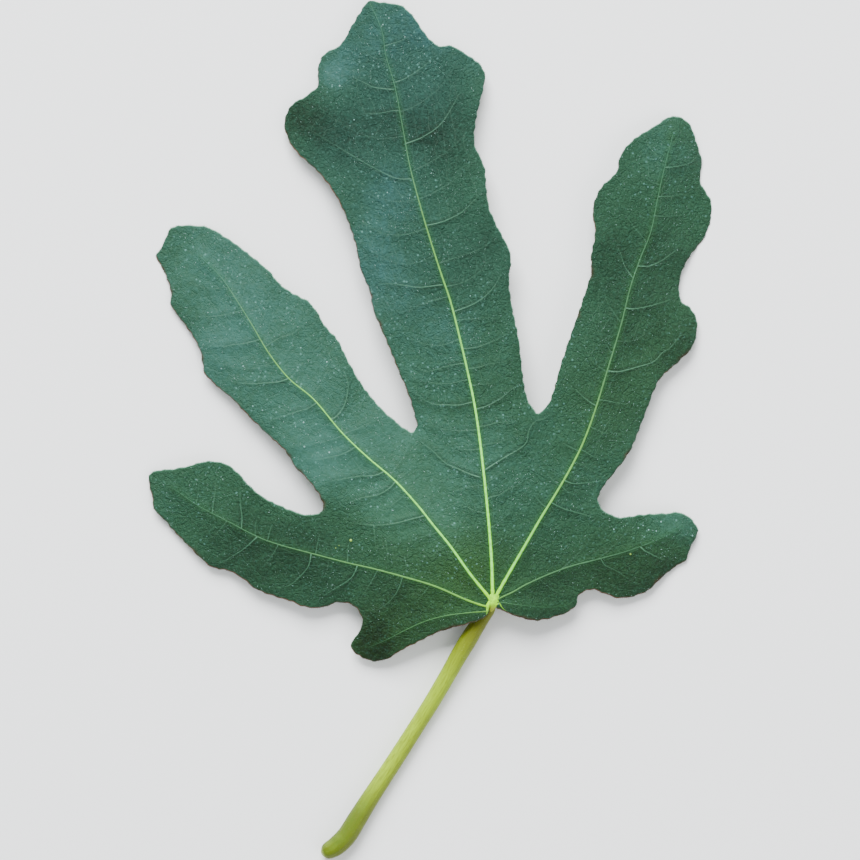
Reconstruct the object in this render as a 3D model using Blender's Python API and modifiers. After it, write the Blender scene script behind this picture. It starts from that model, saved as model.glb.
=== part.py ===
"""Fig leaf, picked and laid down with its upper face up.

Two solids in one frame: the green blade, a thin sheet with a raised net of veins, cut into five
lobes and two lobules, and the yellow-green stalk with the main ribs that fan out of its knob
under the blade. The frame has +Y from the stalk's cut end to the tip of the middle lobe, +X to
the right, +Z up from the surface that the leaf lies on, and its origin under the middle of the
leaf.
"""

import math

import bmesh
import bpy
import numpy as np
from mathutils import Vector
from mathutils.geometry import delaunay_2d_cdt

MM = 0.001

# Driving dimensions, in millimetres
BLADE_THICKNESS = 0.7
MESH_STEP = 2.5
MARGIN_STEP = 2.1
LEAST_STEP = 1.0
FILL_CLEARANCE = 1.55
FILL_LOW = (-72.0, -60.0)
FILL_HIGH = (72.0, 109.0)
CURVE_SAMPLES = 24
RIB_CLEARANCE = 0.42
RIB_STEP = 4.5
RIB_SIDES = 6
STALK_STEP = 4.0
STALK_SIDES = 12
STALK_PRESS = 0.18
WELD = 0.001

# Relief of the blade: it stands up in a ridge along each rib and side vein, and sags between them
RIDGE_HEIGHT = 0.7
RIDGE_SAG = 0.35
RIDGE_WIDTH = 1.9
FOLD_HEIGHT = 0.5
FOLD_WIDTH = 5.0
MARGIN_WAVE = 0.7
MARGIN_WAVE_REACH = 7.0
WAVE_LENGTH_X = 19.0
WAVE_LENGTH_Y = 23.0
WAVE_STARTS = 20.0

# The knob where the stalk meets the blade
KNOB = (15.4, -42.6)
KNOB_RADIUS = 1.75
KNOB_HEIGHT = 7.3
KNOB_HALF_HEIGHT = 1.9
KNOB_SEGMENTS = 16
KNOB_RINGS = 10
RIB_START_DROP = 0.4

# The slab that stands for the surface: it presses the stalk's underside flat
SLAB_SIZE = (200.0, 300.0, 10.0)

COLLECTION = "fig_leaf"
CUTTERS = "fig_leaf_cutters"

# The margin, clockwise from the left of the knob, one list for each stretch
MARGIN = {
    "left_base": [
        (14.1, -45.3), (11.25, -47.5), (7.0, -48.75), (2.0, -50.25), (-2.5, -52.5),
        (-7.0, -54.75), (-10.0, -56.75), (-13.75, -57.75), (-17.5, -56.5), (-19.75, -54.25),
    ],
    "left_lobule_to_left_basal_tip": [
        (-18.75, -51.75), (-17.0, -49.0), (-17.25, -46.0), (-19.5, -43.5), (-23.25, -43.0),
        (-26.75, -44.25), (-31.25, -44.1), (-34.5, -42.75), (-38.75, -41.5), (-43.25, -39.75),
        (-46.5, -37.25), (-50.0, -35.25), (-54.5, -34.25), (-57.75, -31.5), (-61.0, -28.25),
        (-64.25, -25.0), (-66.25, -22.5), (-68.75, -20.0), (-69.5, -16.25), (-70.5, -12.25),
    ],
    "left_basal_upper_side": [
        (-69.75, -10.75), (-67.5, -10.0), (-63.25, -9.6), (-59.5, -8.75), (-55.5, -7.75),
        (-50.75, -8.5), (-47.5, -11.0), (-44.5, -14.25), (-41.0, -17.0), (-36.75, -19.0),
        (-33.0, -20.5), (-29.75, -21.1), (-27.0, -20.25),
    ],
    "left_upper_lower_side": [
        (-26.5, -19.0), (-27.5, -16.25), (-30.25, -12.5), (-33.5, -9.25), (-36.0, -5.25),
        (-40.0, -1.5), (-45.0, 3.25), (-49.25, 7.75), (-52.75, 10.5), (-56.0, 13.75),
        (-56.75, 16.25), (-57.25, 19.5), (-59.5, 23.75), (-62.75, 28.25), (-64.75, 31.0),
        (-64.75, 33.5), (-65.0, 35.5), (-66.5, 39.5), (-68.5, 43.5), (-67.0, 46.0),
        (-65.75, 49.0), (-64.5, 50.75),
    ],
    "left_upper_upper_side": [
        (-61.25, 51.25), (-57.5, 51.0), (-55.0, 50.5), (-50.0, 47.5), (-46.25, 44.75),
        (-42.5, 41.75), (-39.75, 39.25), (-37.25, 36.25), (-34.0, 34.0), (-30.25, 32.0),
        (-28.0, 29.25), (-26.0, 25.75), (-23.0, 22.5), (-21.25, 19.0), (-18.75, 14.25),
        (-16.0, 10.0), (-12.0, 5.25), (-7.75, 1.5), (-4.75, -0.5), (-3.25, 0.75),
    ],
    "middle_left_side": [
        (-3.5, 2.5), (-5.25, 8.5), (-7.75, 14.5), (-11.0, 22.5), (-14.0, 29.5),
        (-15.0, 34.5), (-17.25, 40.0), (-18.25, 45.0), (-19.75, 50.0), (-21.75, 55.0),
        (-24.0, 60.0), (-27.75, 65.0), (-33.25, 70.0), (-36.0, 74.25), (-36.25, 77.5),
        (-34.5, 81.25), (-30.75, 83.5), (-28.0, 86.0), (-28.0, 90.0), (-26.5, 93.75),
        (-22.25, 96.25), (-20.0, 100.0), (-17.75, 103.75), (-15.25, 107.1),
    ],
    "middle_right_side": [
        (-12.5, 106.75), (-7.5, 106.0), (-4.25, 103.25), (-1.5, 99.25), (1.75, 96.0),
        (5.5, 95.75), (9.0, 93.75), (12.5, 91.25), (13.75, 88.0), (12.75, 83.0),
        (11.5, 77.5), (11.25, 71.25), (13.75, 65.5), (14.0, 60.0), (14.75, 55.0),
        (16.75, 50.5), (19.75, 44.5), (20.0, 40.5), (19.6, 37.5), (20.25, 31.25),
        (22.0, 22.5), (23.0, 13.75), (24.25, 8.0), (25.75, 5.0), (27.0, 4.25),
    ],
    "right_upper_left_side": [
        (29.25, 6.25), (30.75, 10.0), (32.25, 15.5), (34.25, 21.5), (36.5, 28.0),
        (38.25, 33.25), (40.0, 38.75), (40.0, 43.25), (41.0, 48.75), (40.5, 55.0),
        (42.5, 60.25), (46.25, 64.0), (47.5, 68.5), (50.75, 72.4), (55.25, 75.25),
        (59.5, 78.0), (61.75, 78.25),
    ],
    "right_upper_right_side": [
        (64.75, 76.5), (66.75, 71.5), (68.0, 67.0), (67.5, 63.0), (68.0, 61.25),
        (70.4, 57.0), (70.15, 52.5), (68.5, 48.0), (65.0, 43.5), (62.75, 39.0),
        (62.25, 35.0), (62.75, 32.25), (65.25, 30.25), (66.75, 26.75), (65.75, 21.25),
        (62.25, 17.25), (57.75, 13.25), (55.75, 9.75), (53.25, 2.5), (50.25, -5.0),
        (46.25, -10.5), (43.0, -14.25), (41.75, -17.5),
    ],
    "right_basal": [
        (43.5, -20.25), (47.5, -21.75), (52.5, -21.1), (58.75, -20.75), (62.5, -20.6),
        (65.25, -22.25), (67.0, -25.25), (65.0, -29.5), (64.0, -32.5), (60.5, -34.75),
        (57.25, -37.5), (53.75, -40.5), (48.0, -42.0), (44.0, -41.0), (40.5, -39.75),
        (37.5, -40.75),
    ],
    "right_base": [
        (36.75, -42.0), (36.0, -44.25), (32.5, -46.1), (26.25, -47.4), (20.5, -45.75),
        (17.5, -44.3),
    ],
    "knob_notch": [
        (17.65, -42.6), (17.0, -41.0), (15.4, -40.3), (13.8, -41.0), (13.15, -42.6),
    ],
}

# The main ribs from the knob outwards: the route, and the radius under the blade at both ends
RIBS = {
    "middle": dict(
        radii=(1.15, 0.35),
        route=[
            (15.5, -40.0), (15.25, -32.5), (14.5, -22.5), (13.5, -12.5), (12.5, -3.75),
            (11.25, 5.0), (9.75, 12.5), (7.75, 21.25), (5.25, 31.25), (2.75, 38.75),
            (0.5, 45.75), (-2.25, 55.0), (-5.0, 65.5), (-6.75, 75.0), (-8.75, 85.5),
            (-11.0, 93.25), (-12.0, 99.5), (-13.25, 103.0),
        ],
    ),
    "left_upper": dict(
        radii=(1.05, 0.35),
        route=[
            (14.25, -41.0), (10.0, -35.75), (5.0, -28.75), (0.75, -23.5), (-3.0, -18.75),
            (-8.75, -12.5), (-15.5, -6.75), (-22.0, -0.5), (-28.75, 7.5), (-35.0, 12.75),
            (-40.0, 19.0), (-44.5, 26.5), (-48.75, 33.25), (-52.25, 38.25),
        ],
    ),
    "right_upper": dict(
        radii=(1.05, 0.35),
        route=[
            (16.75, -40.5), (20.0, -34.75), (23.75, -28.25), (27.5, -21.75), (31.5, -15.25),
            (35.5, -8.25), (38.25, -2.5), (41.0, 5.0), (44.25, 15.5), (47.5, 26.25),
            (49.75, 35.25), (52.25, 42.5), (55.0, 49.5), (56.75, 58.0), (58.5, 65.75),
            (59.8, 70.5),
        ],
    ),
    "left_basal": dict(
        radii=(0.8, 0.35),
        route=[
            (13.5, -43.75), (8.75, -42.0), (1.25, -38.75), (-6.25, -36.5), (-13.75, -34.5),
            (-20.75, -32.5), (-30.0, -30.25), (-37.5, -28.4), (-44.0, -26.0), (-50.0, -22.75),
            (-57.5, -18.75), (-63.0, -15.25),
        ],
    ),
    "right_basal": dict(
        radii=(0.75, 0.35),
        route=[
            (17.5, -41.75), (21.25, -39.75), (27.5, -36.5), (35.0, -34.0), (42.5, -32.1),
            (50.0, -30.0), (56.0, -27.5),
        ],
    ),
    "left_lobule": dict(
        radii=(0.65, 0.35),
        route=[
            (13.75, -45.0), (8.75, -45.4), (3.75, -45.9), (-1.25, -47.25), (-6.25, -49.5),
            (-11.25, -52.0), (-14.5, -53.5),
        ],
    ),
    "right_lobule": dict(
        radii=(0.6, 0.35),
        route=[(17.5, -42.75), (22.5, -43.75), (28.75, -44.25), (31.5, -44.0)],
    ),
}

# The side veins, from their rib outwards to near the margin
SIDE_VEINS = {
    "middle_left": [
        [(12.75, -11.75), (6.75, -10.0), (2.5, -6.75), (-2.25, -3.4)],
        [(12.5, -5.0), (6.5, -4.0), (1.0, -2.5)],
        [(11.75, 0.0), (5.0, 0.0), (-1.0, 1.5)],
        [(10.75, 7.0), (7.5, 6.25), (3.75, 6.25), (0.0, 6.75), (-3.75, 9.25)],
        [(9.25, 12.5), (3.75, 11.5), (-2.5, 12.5), (-6.25, 15.0)],
        [(8.5, 17.25), (5.0, 16.0), (0.0, 15.75), (-5.5, 18.5)],
        [(7.25, 22.5), (2.5, 21.0), (-2.5, 21.75), (-7.5, 24.5)],
        [(5.75, 28.5), (1.0, 26.5), (-5.0, 27.0), (-10.5, 30.5)],
        [(3.5, 36.25), (-1.25, 34.5), (-6.25, 34.5), (-12.5, 37.0)],
        [(1.25, 43.25), (-4.5, 41.25), (-10.0, 42.0), (-15.25, 45.0)],
        [(-0.75, 50.0), (-6.5, 48.5), (-12.0, 49.0), (-17.0, 52.0)],
        [(-2.75, 57.25), (-9.0, 56.75), (-15.0, 58.5), (-20.5, 61.5)],
        [(-4.25, 63.0), (-11.75, 63.5), (-18.75, 67.25), (-23.5, 70.5), (-30.5, 76.0)],
        [(-6.25, 73.0), (-13.0, 72.5), (-20.0, 75.0), (-27.5, 80.5)],
        [(-7.25, 79.0), (-13.0, 79.0), (-19.0, 81.5), (-25.0, 86.0)],
        [(-9.0, 86.0), (-13.75, 86.0), (-18.25, 88.5), (-22.5, 92.5)],
        [(-10.75, 92.25), (-14.0, 92.75), (-17.5, 95.5)],
    ],
    "middle_right": [
        [(14.0, -17.5), (18.5, -15.5), (23.0, -11.5)],
        [(13.25, -9.5), (17.5, -7.25), (22.5, -4.0), (24.5, 0.5), (26.25, 2.5)],
        [(12.5, -3.5), (17.5, -1.5), (21.5, 1.5)],
        [(11.5, 3.5), (16.75, 6.25), (20.75, 9.75)],
        [(10.25, 10.25), (15.5, 12.0), (20.5, 16.5)],
        [(9.0, 15.5), (14.5, 17.5), (19.5, 21.5)],
        [(7.75, 21.25), (13.0, 22.75), (18.25, 27.0)],
        [(5.75, 29.25), (11.25, 31.5), (15.0, 34.5), (17.5, 38.25)],
        [(4.0, 35.5), (9.0, 37.0), (14.5, 41.0)],
        [(2.0, 41.25), (6.25, 42.75), (12.0, 44.75), (16.0, 47.5)],
        [(-0.5, 50.0), (4.5, 52.0), (8.75, 54.5), (12.0, 58.0)],
        [(-2.75, 57.25), (2.0, 59.5), (6.5, 62.5), (10.75, 66.5)],
        [(-4.5, 64.25), (0.0, 66.5), (5.0, 69.75), (9.0, 74.0)],
        [(-6.25, 71.0), (-1.5, 73.0), (3.0, 76.5), (7.5, 84.0)],
        [(-7.5, 79.0), (-3.0, 81.0), (2.0, 85.0), (6.0, 90.5)],
        [(-9.5, 87.0), (-5.25, 88.5), (-1.75, 91.0), (1.0, 94.0)],
        [(-11.25, 95.0), (-7.5, 96.5), (-4.75, 98.5)],
    ],
    "left_upper_upper": [
        [(-10.0, -11.25), (-6.5, -6.5), (-5.5, -3.0)],
        [(-16.25, -6.0), (-12.25, -1.5), (-10.5, 2.5)],
        [(-24.25, 2.0), (-21.25, 6.5), (-20.0, 11.5)],
        [(-29.5, 8.25), (-26.25, 13.0), (-24.75, 19.5)],
        [(-34.75, 12.75), (-31.5, 18.0), (-29.5, 26.0)],
        [(-39.0, 17.75), (-36.0, 23.5), (-34.25, 31.0)],
        [(-43.25, 24.25), (-41.0, 29.5), (-39.75, 36.0)],
        [(-47.25, 31.0), (-46.0, 36.0), (-45.5, 41.0)],
        [(-51.0, 36.5), (-51.0, 41.0), (-51.5, 46.0)],
    ],
    "left_upper_lower": [
        [(4.25, -28.0), (-1.0, -31.0), (-6.0, -32.0)],
        [(-1.0, -21.25), (-7.5, -22.5), (-14.0, -23.5), (-21.25, -23.0)],
        [(-8.5, -12.75), (-14.0, -15.5), (-20.5, -17.0)],
        [(-14.0, -8.0), (-19.5, -10.5), (-26.0, -10.75)],
        [(-20.0, -2.5), (-26.25, -4.75), (-33.0, -4.25)],
        [(-26.5, 5.0), (-33.0, 2.75), (-40.0, 2.75)],
        [(-33.5, 11.5), (-40.0, 9.75), (-49.5, 11.0)],
        [(-38.5, 17.0), (-45.0, 15.25), (-53.5, 16.75)],
        [(-42.25, 22.75), (-48.5, 21.25), (-55.75, 22.25)],
        [(-46.5, 30.0), (-52.5, 28.75), (-60.0, 31.0)],
        [(-50.25, 35.5), (-56.0, 35.5), (-62.5, 38.0)],
        [(-52.25, 38.5), (-58.0, 41.75), (-64.5, 45.0)],
    ],
    "right_upper_left": [
        [(23.25, -29.0), (22.5, -23.0), (20.5, -18.0)],
        [(31.0, -16.0), (29.5, -9.5), (27.5, -4.0)],
        [(37.25, -4.75), (33.5, 1.25), (31.0, 6.25)],
        [(40.75, 4.5), (37.0, 9.0), (34.25, 14.5)],
        [(43.0, 11.25), (39.0, 17.0), (37.0, 22.5)],
        [(45.25, 19.0), (41.75, 24.5), (39.75, 30.0)],
        [(47.5, 26.5), (44.25, 31.5), (42.5, 37.0)],
        [(49.5, 34.25), (46.0, 40.0), (43.5, 46.5)],
        [(51.5, 40.5), (47.5, 47.0), (44.5, 53.5)],
        [(54.25, 47.75), (50.0, 54.0), (46.5, 60.5)],
        [(56.25, 55.5), (52.25, 61.0), (50.0, 67.0)],
        [(57.75, 63.0), (55.0, 68.0), (53.5, 72.5)],
    ],
    "right_upper_right": [
        [(26.75, -23.0), (32.5, -24.0), (37.5, -26.5)],
        [(32.25, -14.0), (37.0, -14.5), (40.5, -15.0)],
        [(36.5, -6.25), (41.0, -7.0), (44.5, -6.5)],
        [(39.5, 0.75), (44.5, 0.5), (49.5, 2.5)],
        [(42.25, 9.0), (47.5, 8.75), (53.0, 11.5)],
        [(44.25, 15.5), (50.5, 15.5), (56.25, 18.0), (60.0, 20.5)],
        [(46.5, 23.0), (53.0, 23.0), (61.5, 26.5)],
        [(48.5, 30.25), (53.75, 30.25), (59.5, 33.0)],
        [(51.25, 40.25), (56.25, 41.25), (60.75, 43.75), (64.0, 47.0)],
        [(55.0, 50.25), (60.0, 51.0), (66.0, 54.5)],
        [(57.0, 58.5), (61.0, 59.25), (65.5, 61.5)],
        [(58.75, 66.0), (62.0, 66.5), (65.5, 68.75)],
    ],
    "left_basal": [
        [(3.0, -39.5), (-0.5, -41.5), (-4.0, -45.0)],
        [(-9.25, -35.75), (-11.25, -41.0), (-14.5, -45.5)],
        [(-18.25, -33.25), (-20.5, -37.0), (-25.0, -40.5)],
        [(-28.0, -30.75), (-31.0, -35.0), (-36.0, -39.0)],
        [(-35.5, -29.0), (-39.0, -33.0), (-44.5, -36.5)],
        [(-43.75, -26.25), (-48.0, -29.75), (-54.0, -31.75)],
        [(-50.5, -22.5), (-55.0, -24.5), (-61.0, -25.25)],
        [(-15.0, -34.0), (-19.5, -30.0), (-24.5, -25.5)],
        [(-26.0, -31.25), (-30.5, -27.0), (-34.0, -23.0)],
        [(-35.0, -29.25), (-38.5, -24.5), (-41.0, -20.0)],
        [(-43.0, -26.5), (-46.0, -21.0), (-47.5, -15.5)],
        [(-49.5, -23.0), (-52.5, -17.5), (-54.5, -11.5)],
        [(-56.0, -19.5), (-59.0, -15.5), (-61.5, -12.0)],
    ],
    "right_basal": [
        [(27.0, -36.75), (31.0, -40.0), (35.0, -41.5)],
        [(35.0, -34.0), (39.0, -36.5), (42.5, -38.5)],
        [(43.0, -32.0), (47.5, -35.0), (52.0, -38.5)],
        [(50.5, -29.75), (56.0, -31.25), (61.0, -31.5)],
        [(32.5, -34.75), (37.0, -30.5), (41.0, -25.5)],
        [(41.5, -32.25), (46.0, -28.5), (50.0, -24.0)],
        [(49.5, -30.25), (54.0, -27.0), (58.5, -23.5)],
    ],
}

# Heights of the blade's underside over the surface, in millimetres, at a few places. The sheet
# passes smoothly through them; where it would dip below the surface it lies flat on it.
REST_HEIGHTS = [
    (KNOB[0], KNOB[1], 7.5),
    (11.0, -48.0, 7.1),
    (-7.0, -48.0, 5.6),
    (-19.75, -54.25, 2.9),
    (22.0, -46.0, 6.6),
    (36.0, -44.25, 4.0),
    (0.0, -5.0, 8.3),
    (20.0, -10.0, 8.7),
    (3.0, 30.0, 7.8),
    (-6.0, 68.0, 6.2),
    (-34.0, 77.0, 3.0),
    (12.0, 90.0, 3.6),
    (-15.25, 107.2, 2.8),
    (-18.0, -18.0, 7.4),
    (-30.0, 5.0, 6.6),
    (-47.0, 31.0, 4.0),
    (-68.0, 46.0, -0.35),
    (-30.0, -31.0, 6.0),
    (-52.0, -22.0, 3.9),
    (-70.0, -14.0, 2.0),
    (36.0, -5.0, 7.4),
    (48.0, 27.0, 5.6),
    (61.0, 77.0, 3.2),
    (57.0, 58.0, 3.9),
    (70.2, 54.0, -1.0),
    (66.0, 26.0, 2.3),
    (42.0, -32.0, 5.2),
    (66.0, -25.0, 1.6),
]

# The stalk from the knob to its cut end: x, y, height of its underside and radius. Its lower
# stretch is pressed flat where it lies on the surface.
STALK_ROUTE = [
    (15.3, -42.9, 3.4, 1.5),
    (13.7, -46.2, 2.25, 1.85),
    (12.0, -49.5, 1.5, 2.08),
    (10.0, -52.75, 1.2, 2.1),
    (7.5, -56.75, 0.95, 2.05),
    (5.4, -60.5, 0.8, 2.0),
    (1.0, -67.5, 0.45, 1.9),
    (-3.1, -73.75, 0.2, 1.8),
    (-7.25, -80.0, 0.0, 1.76),
    (-11.4, -86.25, -STALK_PRESS, 1.76),
    (-15.4, -92.5, -STALK_PRESS, 1.78),
    (-18.4, -97.5, -STALK_PRESS, 1.82),
    (-20.75, -101.25, -STALK_PRESS, 1.86),
    (-23.25, -103.75, -STALK_PRESS, 1.88),
    (-26.05, -105.75, -STALK_PRESS, 1.86),
]


def smooth_route(points, step, closed=False):
    """Even samples, about `step` apart, of the curve that passes through the points.

    Each span between two points is a Catmull-Rom cubic, whose ends lean along the line that
    joins the neighbours on both sides. Columns past the first two follow along.
    """
    points = np.array(points, dtype=float)
    if closed:
        ring = np.vstack([points[-1], points, points[0], points[1]])
    else:
        ring = np.vstack([2 * points[0] - points[1], points, 2 * points[-1] - points[-2]])
    t = np.linspace(0.0, 1.0, CURVE_SAMPLES, endpoint=False)[:, None]
    spans = []
    for before, start, end, after in zip(ring[:-3], ring[1:-2], ring[2:-1], ring[3:]):
        lean_start = (end - before) / 2
        lean_end = (after - start) / 2
        spans.append(
            (2 * t**3 - 3 * t**2 + 1) * start
            + (t**3 - 2 * t**2 + t) * lean_start
            + (3 * t**2 - 2 * t**3) * end
            + (t**3 - t**2) * lean_end
        )
    dense = np.vstack(spans + [ring[-2][None, :]])
    steps = np.linalg.norm(np.diff(dense[:, :2], axis=0), axis=1)
    run = np.concatenate([[0.0], np.cumsum(steps)])
    count = max(2, round(run[-1] / step) + 1)
    places = np.linspace(0.0, run[-1], count)
    even = np.column_stack([np.interp(places, run, column) for column in dense.T])
    return even[:-1] if closed else even


def distance_to_routes(points, routes):
    """Distance from each point in the plane to the nearest of the routes."""
    nearest = np.full(len(points), np.inf)
    for route in routes:
        for start, end in zip(route[:-1], route[1:]):
            along = end - start
            share = ((points - start) @ along) / (along @ along)
            foot = start + np.clip(share, 0.0, 1.0)[:, None] * along
            nearest = np.minimum(nearest, np.linalg.norm(points - foot, axis=1))
    return nearest


def sheet_bend(distance):
    """Thin-plate bending term, r squared times the logarithm of r."""
    safe = np.maximum(distance, 1e-9)
    return distance**2 * np.log(safe)


def solve_rest_heights():
    """Weights of the thin plate that passes through the rest heights."""
    places = np.array([(x, y) for x, y, _ in REST_HEIGHTS])
    heights = np.array([z for _, _, z in REST_HEIGHTS])
    count = len(places)
    bend = sheet_bend(np.linalg.norm(places[:, None] - places[None], axis=2))
    plane = np.column_stack([np.ones(count), places])
    system = np.block([[bend, plane], [plane.T, np.zeros((3, 3))]])
    return places, np.linalg.solve(system, np.concatenate([heights, np.zeros(3)]))


def rest_height(points):
    """Broad rise and droop of the sheet at each point."""
    places, weights = solve_rest_heights()
    bend = sheet_bend(np.linalg.norm(points[:, None] - places[None], axis=2))
    plane = np.column_stack([np.ones(len(points)), points])
    return bend @ weights[:-3] + plane @ weights[-3:]


def underside_height(points, margin, ribs, veins):
    """Height of the blade's underside: rise and droop, raised veins and the wavy margin."""
    to_rib = distance_to_routes(points, ribs)
    to_vein = np.minimum(to_rib, distance_to_routes(points, veins))
    to_margin = distance_to_routes(points, [np.vstack([margin, margin[:1]])])
    fold = FOLD_HEIGHT * np.exp(-((to_rib / FOLD_WIDTH) ** 2))
    ridge = RIDGE_HEIGHT * np.exp(-((to_vein / RIDGE_WIDTH) ** 2)) - RIDGE_SAG
    from_knob = np.linalg.norm(points - KNOB, axis=1)
    wave = (
        MARGIN_WAVE
        * np.sin(2 * math.pi * points[:, 0] / WAVE_LENGTH_X)
        * np.cos(2 * math.pi * points[:, 1] / WAVE_LENGTH_Y)
        * np.exp(-to_margin / MARGIN_WAVE_REACH)
        * (1 - np.exp(-((from_knob / WAVE_STARTS) ** 2)))
    )
    return np.maximum(rest_height(points) + fold + ridge + wave, 0.0)


def leaf_lines():
    """The margin, the main ribs and the side veins as evenly sampled routes in the plane."""
    margin = smooth_route(
        [point for stretch in MARGIN.values() for point in stretch], MARGIN_STEP, closed=True
    )
    ribs = [smooth_route(rib["route"], MESH_STEP) for rib in RIBS.values()]
    veins = [smooth_route(route, MESH_STEP) for group in SIDE_VEINS.values() for route in group]
    return margin, ribs, veins


def is_inside(points, margin):
    """Whether each point lies inside the margin, by counting the sides that a ray crosses."""
    inside = np.zeros(len(points), dtype=bool)
    x, y = points.T
    for (x0, y0), (x1, y1) in zip(margin, np.roll(margin, -1, axis=0)):
        spans = (y0 > y) != (y1 > y)
        if spans.any():
            inside ^= spans & (x < x0 + (y - y0) * (x1 - x0) / (y1 - y0))
    return inside


def blade_plan(margin, ribs, veins):
    """Splits the blade's outline into triangles whose sides follow the ribs and side veins."""
    points = [tuple(p) for p in margin]
    outline = list(range(len(points)))
    edges = []
    for route in ribs + veins:
        previous = None
        for place in route:
            known = np.array(points)
            gaps = np.linalg.norm(known - place, axis=1)
            nearest = int(gaps.argmin())
            if gaps[nearest] < LEAST_STEP:
                index = nearest
            else:
                index = len(points)
                points.append(tuple(place))
            if previous is not None and index != previous:
                edges.append((previous, index))
            previous = index
    columns = np.arange(FILL_LOW[0], FILL_HIGH[0], MESH_STEP)
    rows = np.arange(FILL_LOW[1], FILL_HIGH[1], MESH_STEP * math.sqrt(3) / 2)
    grid_x, grid_y = np.meshgrid(columns, rows)
    grid_x[1::2] += MESH_STEP / 2
    fill = np.column_stack([grid_x.ravel(), grid_y.ravel()])
    fill = fill[is_inside(fill, margin)]
    gaps = np.linalg.norm(fill[:, None] - np.array(points)[None], axis=2).min(axis=1)
    points += [tuple(p) for p in fill[gaps > FILL_CLEARANCE]]
    inside_only = 1
    found = delaunay_2d_cdt([Vector(p) for p in points], edges, [outline], inside_only, WELD)
    return np.array([tuple(p) for p in found[0]]), found[2]


def material(name, colour, roughness):
    """A plain Principled material."""
    new = bpy.data.materials.new(name)
    new.use_nodes = True
    shader = new.node_tree.nodes["Principled BSDF"]
    shader.inputs["Base Color"].default_value = (*colour, 1.0)
    shader.inputs["Roughness"].default_value = roughness
    shader.inputs["Metallic"].default_value = 0.0
    return new


def add_object(name, mesh, collection):
    """Puts a mesh into the scene as a named object."""
    new = bpy.data.objects.new(name, mesh)
    collection.objects.link(new)
    return new


def make_blade(collection):
    """The green sheet: one open surface with its raised net, thickened downwards."""
    margin, ribs, veins = leaf_lines()
    plan, triangles = blade_plan(margin, ribs, veins)
    heights = underside_height(plan, margin, ribs, veins) + BLADE_THICKNESS
    mesh = bpy.data.meshes.new("blade")
    corners = np.column_stack([plan, heights]) * MM
    mesh.from_pydata(corners.tolist(), [], [list(t) for t in triangles])
    mesh.materials.append(material("blade_green", (0.07, 0.17, 0.11), 0.6))
    blade = add_object("blade", mesh, collection)
    thicken = blade.modifiers.new("thickness", "SOLIDIFY")
    thicken.thickness = BLADE_THICKNESS * MM
    thicken.offset = -1.0


def tube(name, route, sides, collection):
    """A closed round tube along a route of x, y, z and radius, as a welded mesh."""
    curve = bpy.data.curves.new(name, "CURVE")
    curve.dimensions = "3D"
    curve.bevel_depth = MM
    curve.bevel_resolution = (sides - 4) // 2
    curve.use_fill_caps = True
    spline = curve.splines.new("POLY")
    spline.points.add(len(route) - 1)
    for point, (x, y, z, radius) in zip(spline.points, route):
        point.co = (x * MM, y * MM, z * MM, 1.0)
        point.radius = radius
    guide = add_object(name + "_curve", curve, collection)
    graph = bpy.context.evaluated_depsgraph_get()
    mesh = bpy.data.meshes.new_from_object(guide.evaluated_get(graph))
    bpy.data.objects.remove(guide)
    weld = bmesh.new()
    weld.from_mesh(mesh)
    bmesh.ops.remove_doubles(weld, verts=weld.verts, dist=WELD * MM)
    bmesh.ops.recalc_face_normals(weld, faces=weld.faces)
    weld.to_mesh(mesh)
    weld.free()
    return add_object(name, mesh, collection)


def rib_route(rib, margin, ribs, veins):
    """A rib's middle line: it hangs under the blade by the clearance and its own radius."""
    plan = smooth_route(rib["route"], RIB_STEP)
    root, tip = rib["radii"]
    radii = np.linspace(root, tip, len(plan))
    under = underside_height(plan, margin, ribs, veins)
    heights = under - RIB_CLEARANCE - radii
    route = np.column_stack([plan, heights, radii])
    inner = np.array([[*KNOB, KNOB_HEIGHT - RIB_START_DROP, root]])
    return np.vstack([inner, route])


def place_active(name, size, place, collection):
    """Names the shape just added, scales and moves its corners, and moves it to a collection."""
    shape = bpy.context.object
    shape.name = name
    for vertex in shape.data.vertices:
        vertex.co = Vector((c * s + p) * MM for c, s, p in zip(vertex.co, size, place))
    for owner in shape.users_collection:
        owner.objects.unlink(shape)
    collection.objects.link(shape)
    return shape


def make_knob(collection):
    """The swollen knob at the top of the stalk, which stands in the blade's notch."""
    bpy.ops.mesh.primitive_uv_sphere_add(
        segments=KNOB_SEGMENTS, ring_count=KNOB_RINGS, radius=1.0
    )
    size = (KNOB_RADIUS, KNOB_RADIUS, KNOB_HALF_HEIGHT)
    place_active("knob", size, (*KNOB, KNOB_HEIGHT), collection)


def make_surface(cutters):
    """The slab under the leaf, its top at height zero."""
    bpy.ops.mesh.primitive_cube_add(size=1.0)
    surface = place_active("surface", SLAB_SIZE, (0.0, 0.0, -SLAB_SIZE[2] / 2), cutters)
    surface.hide_render = True
    surface.display_type = "WIRE"
    return surface


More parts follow.
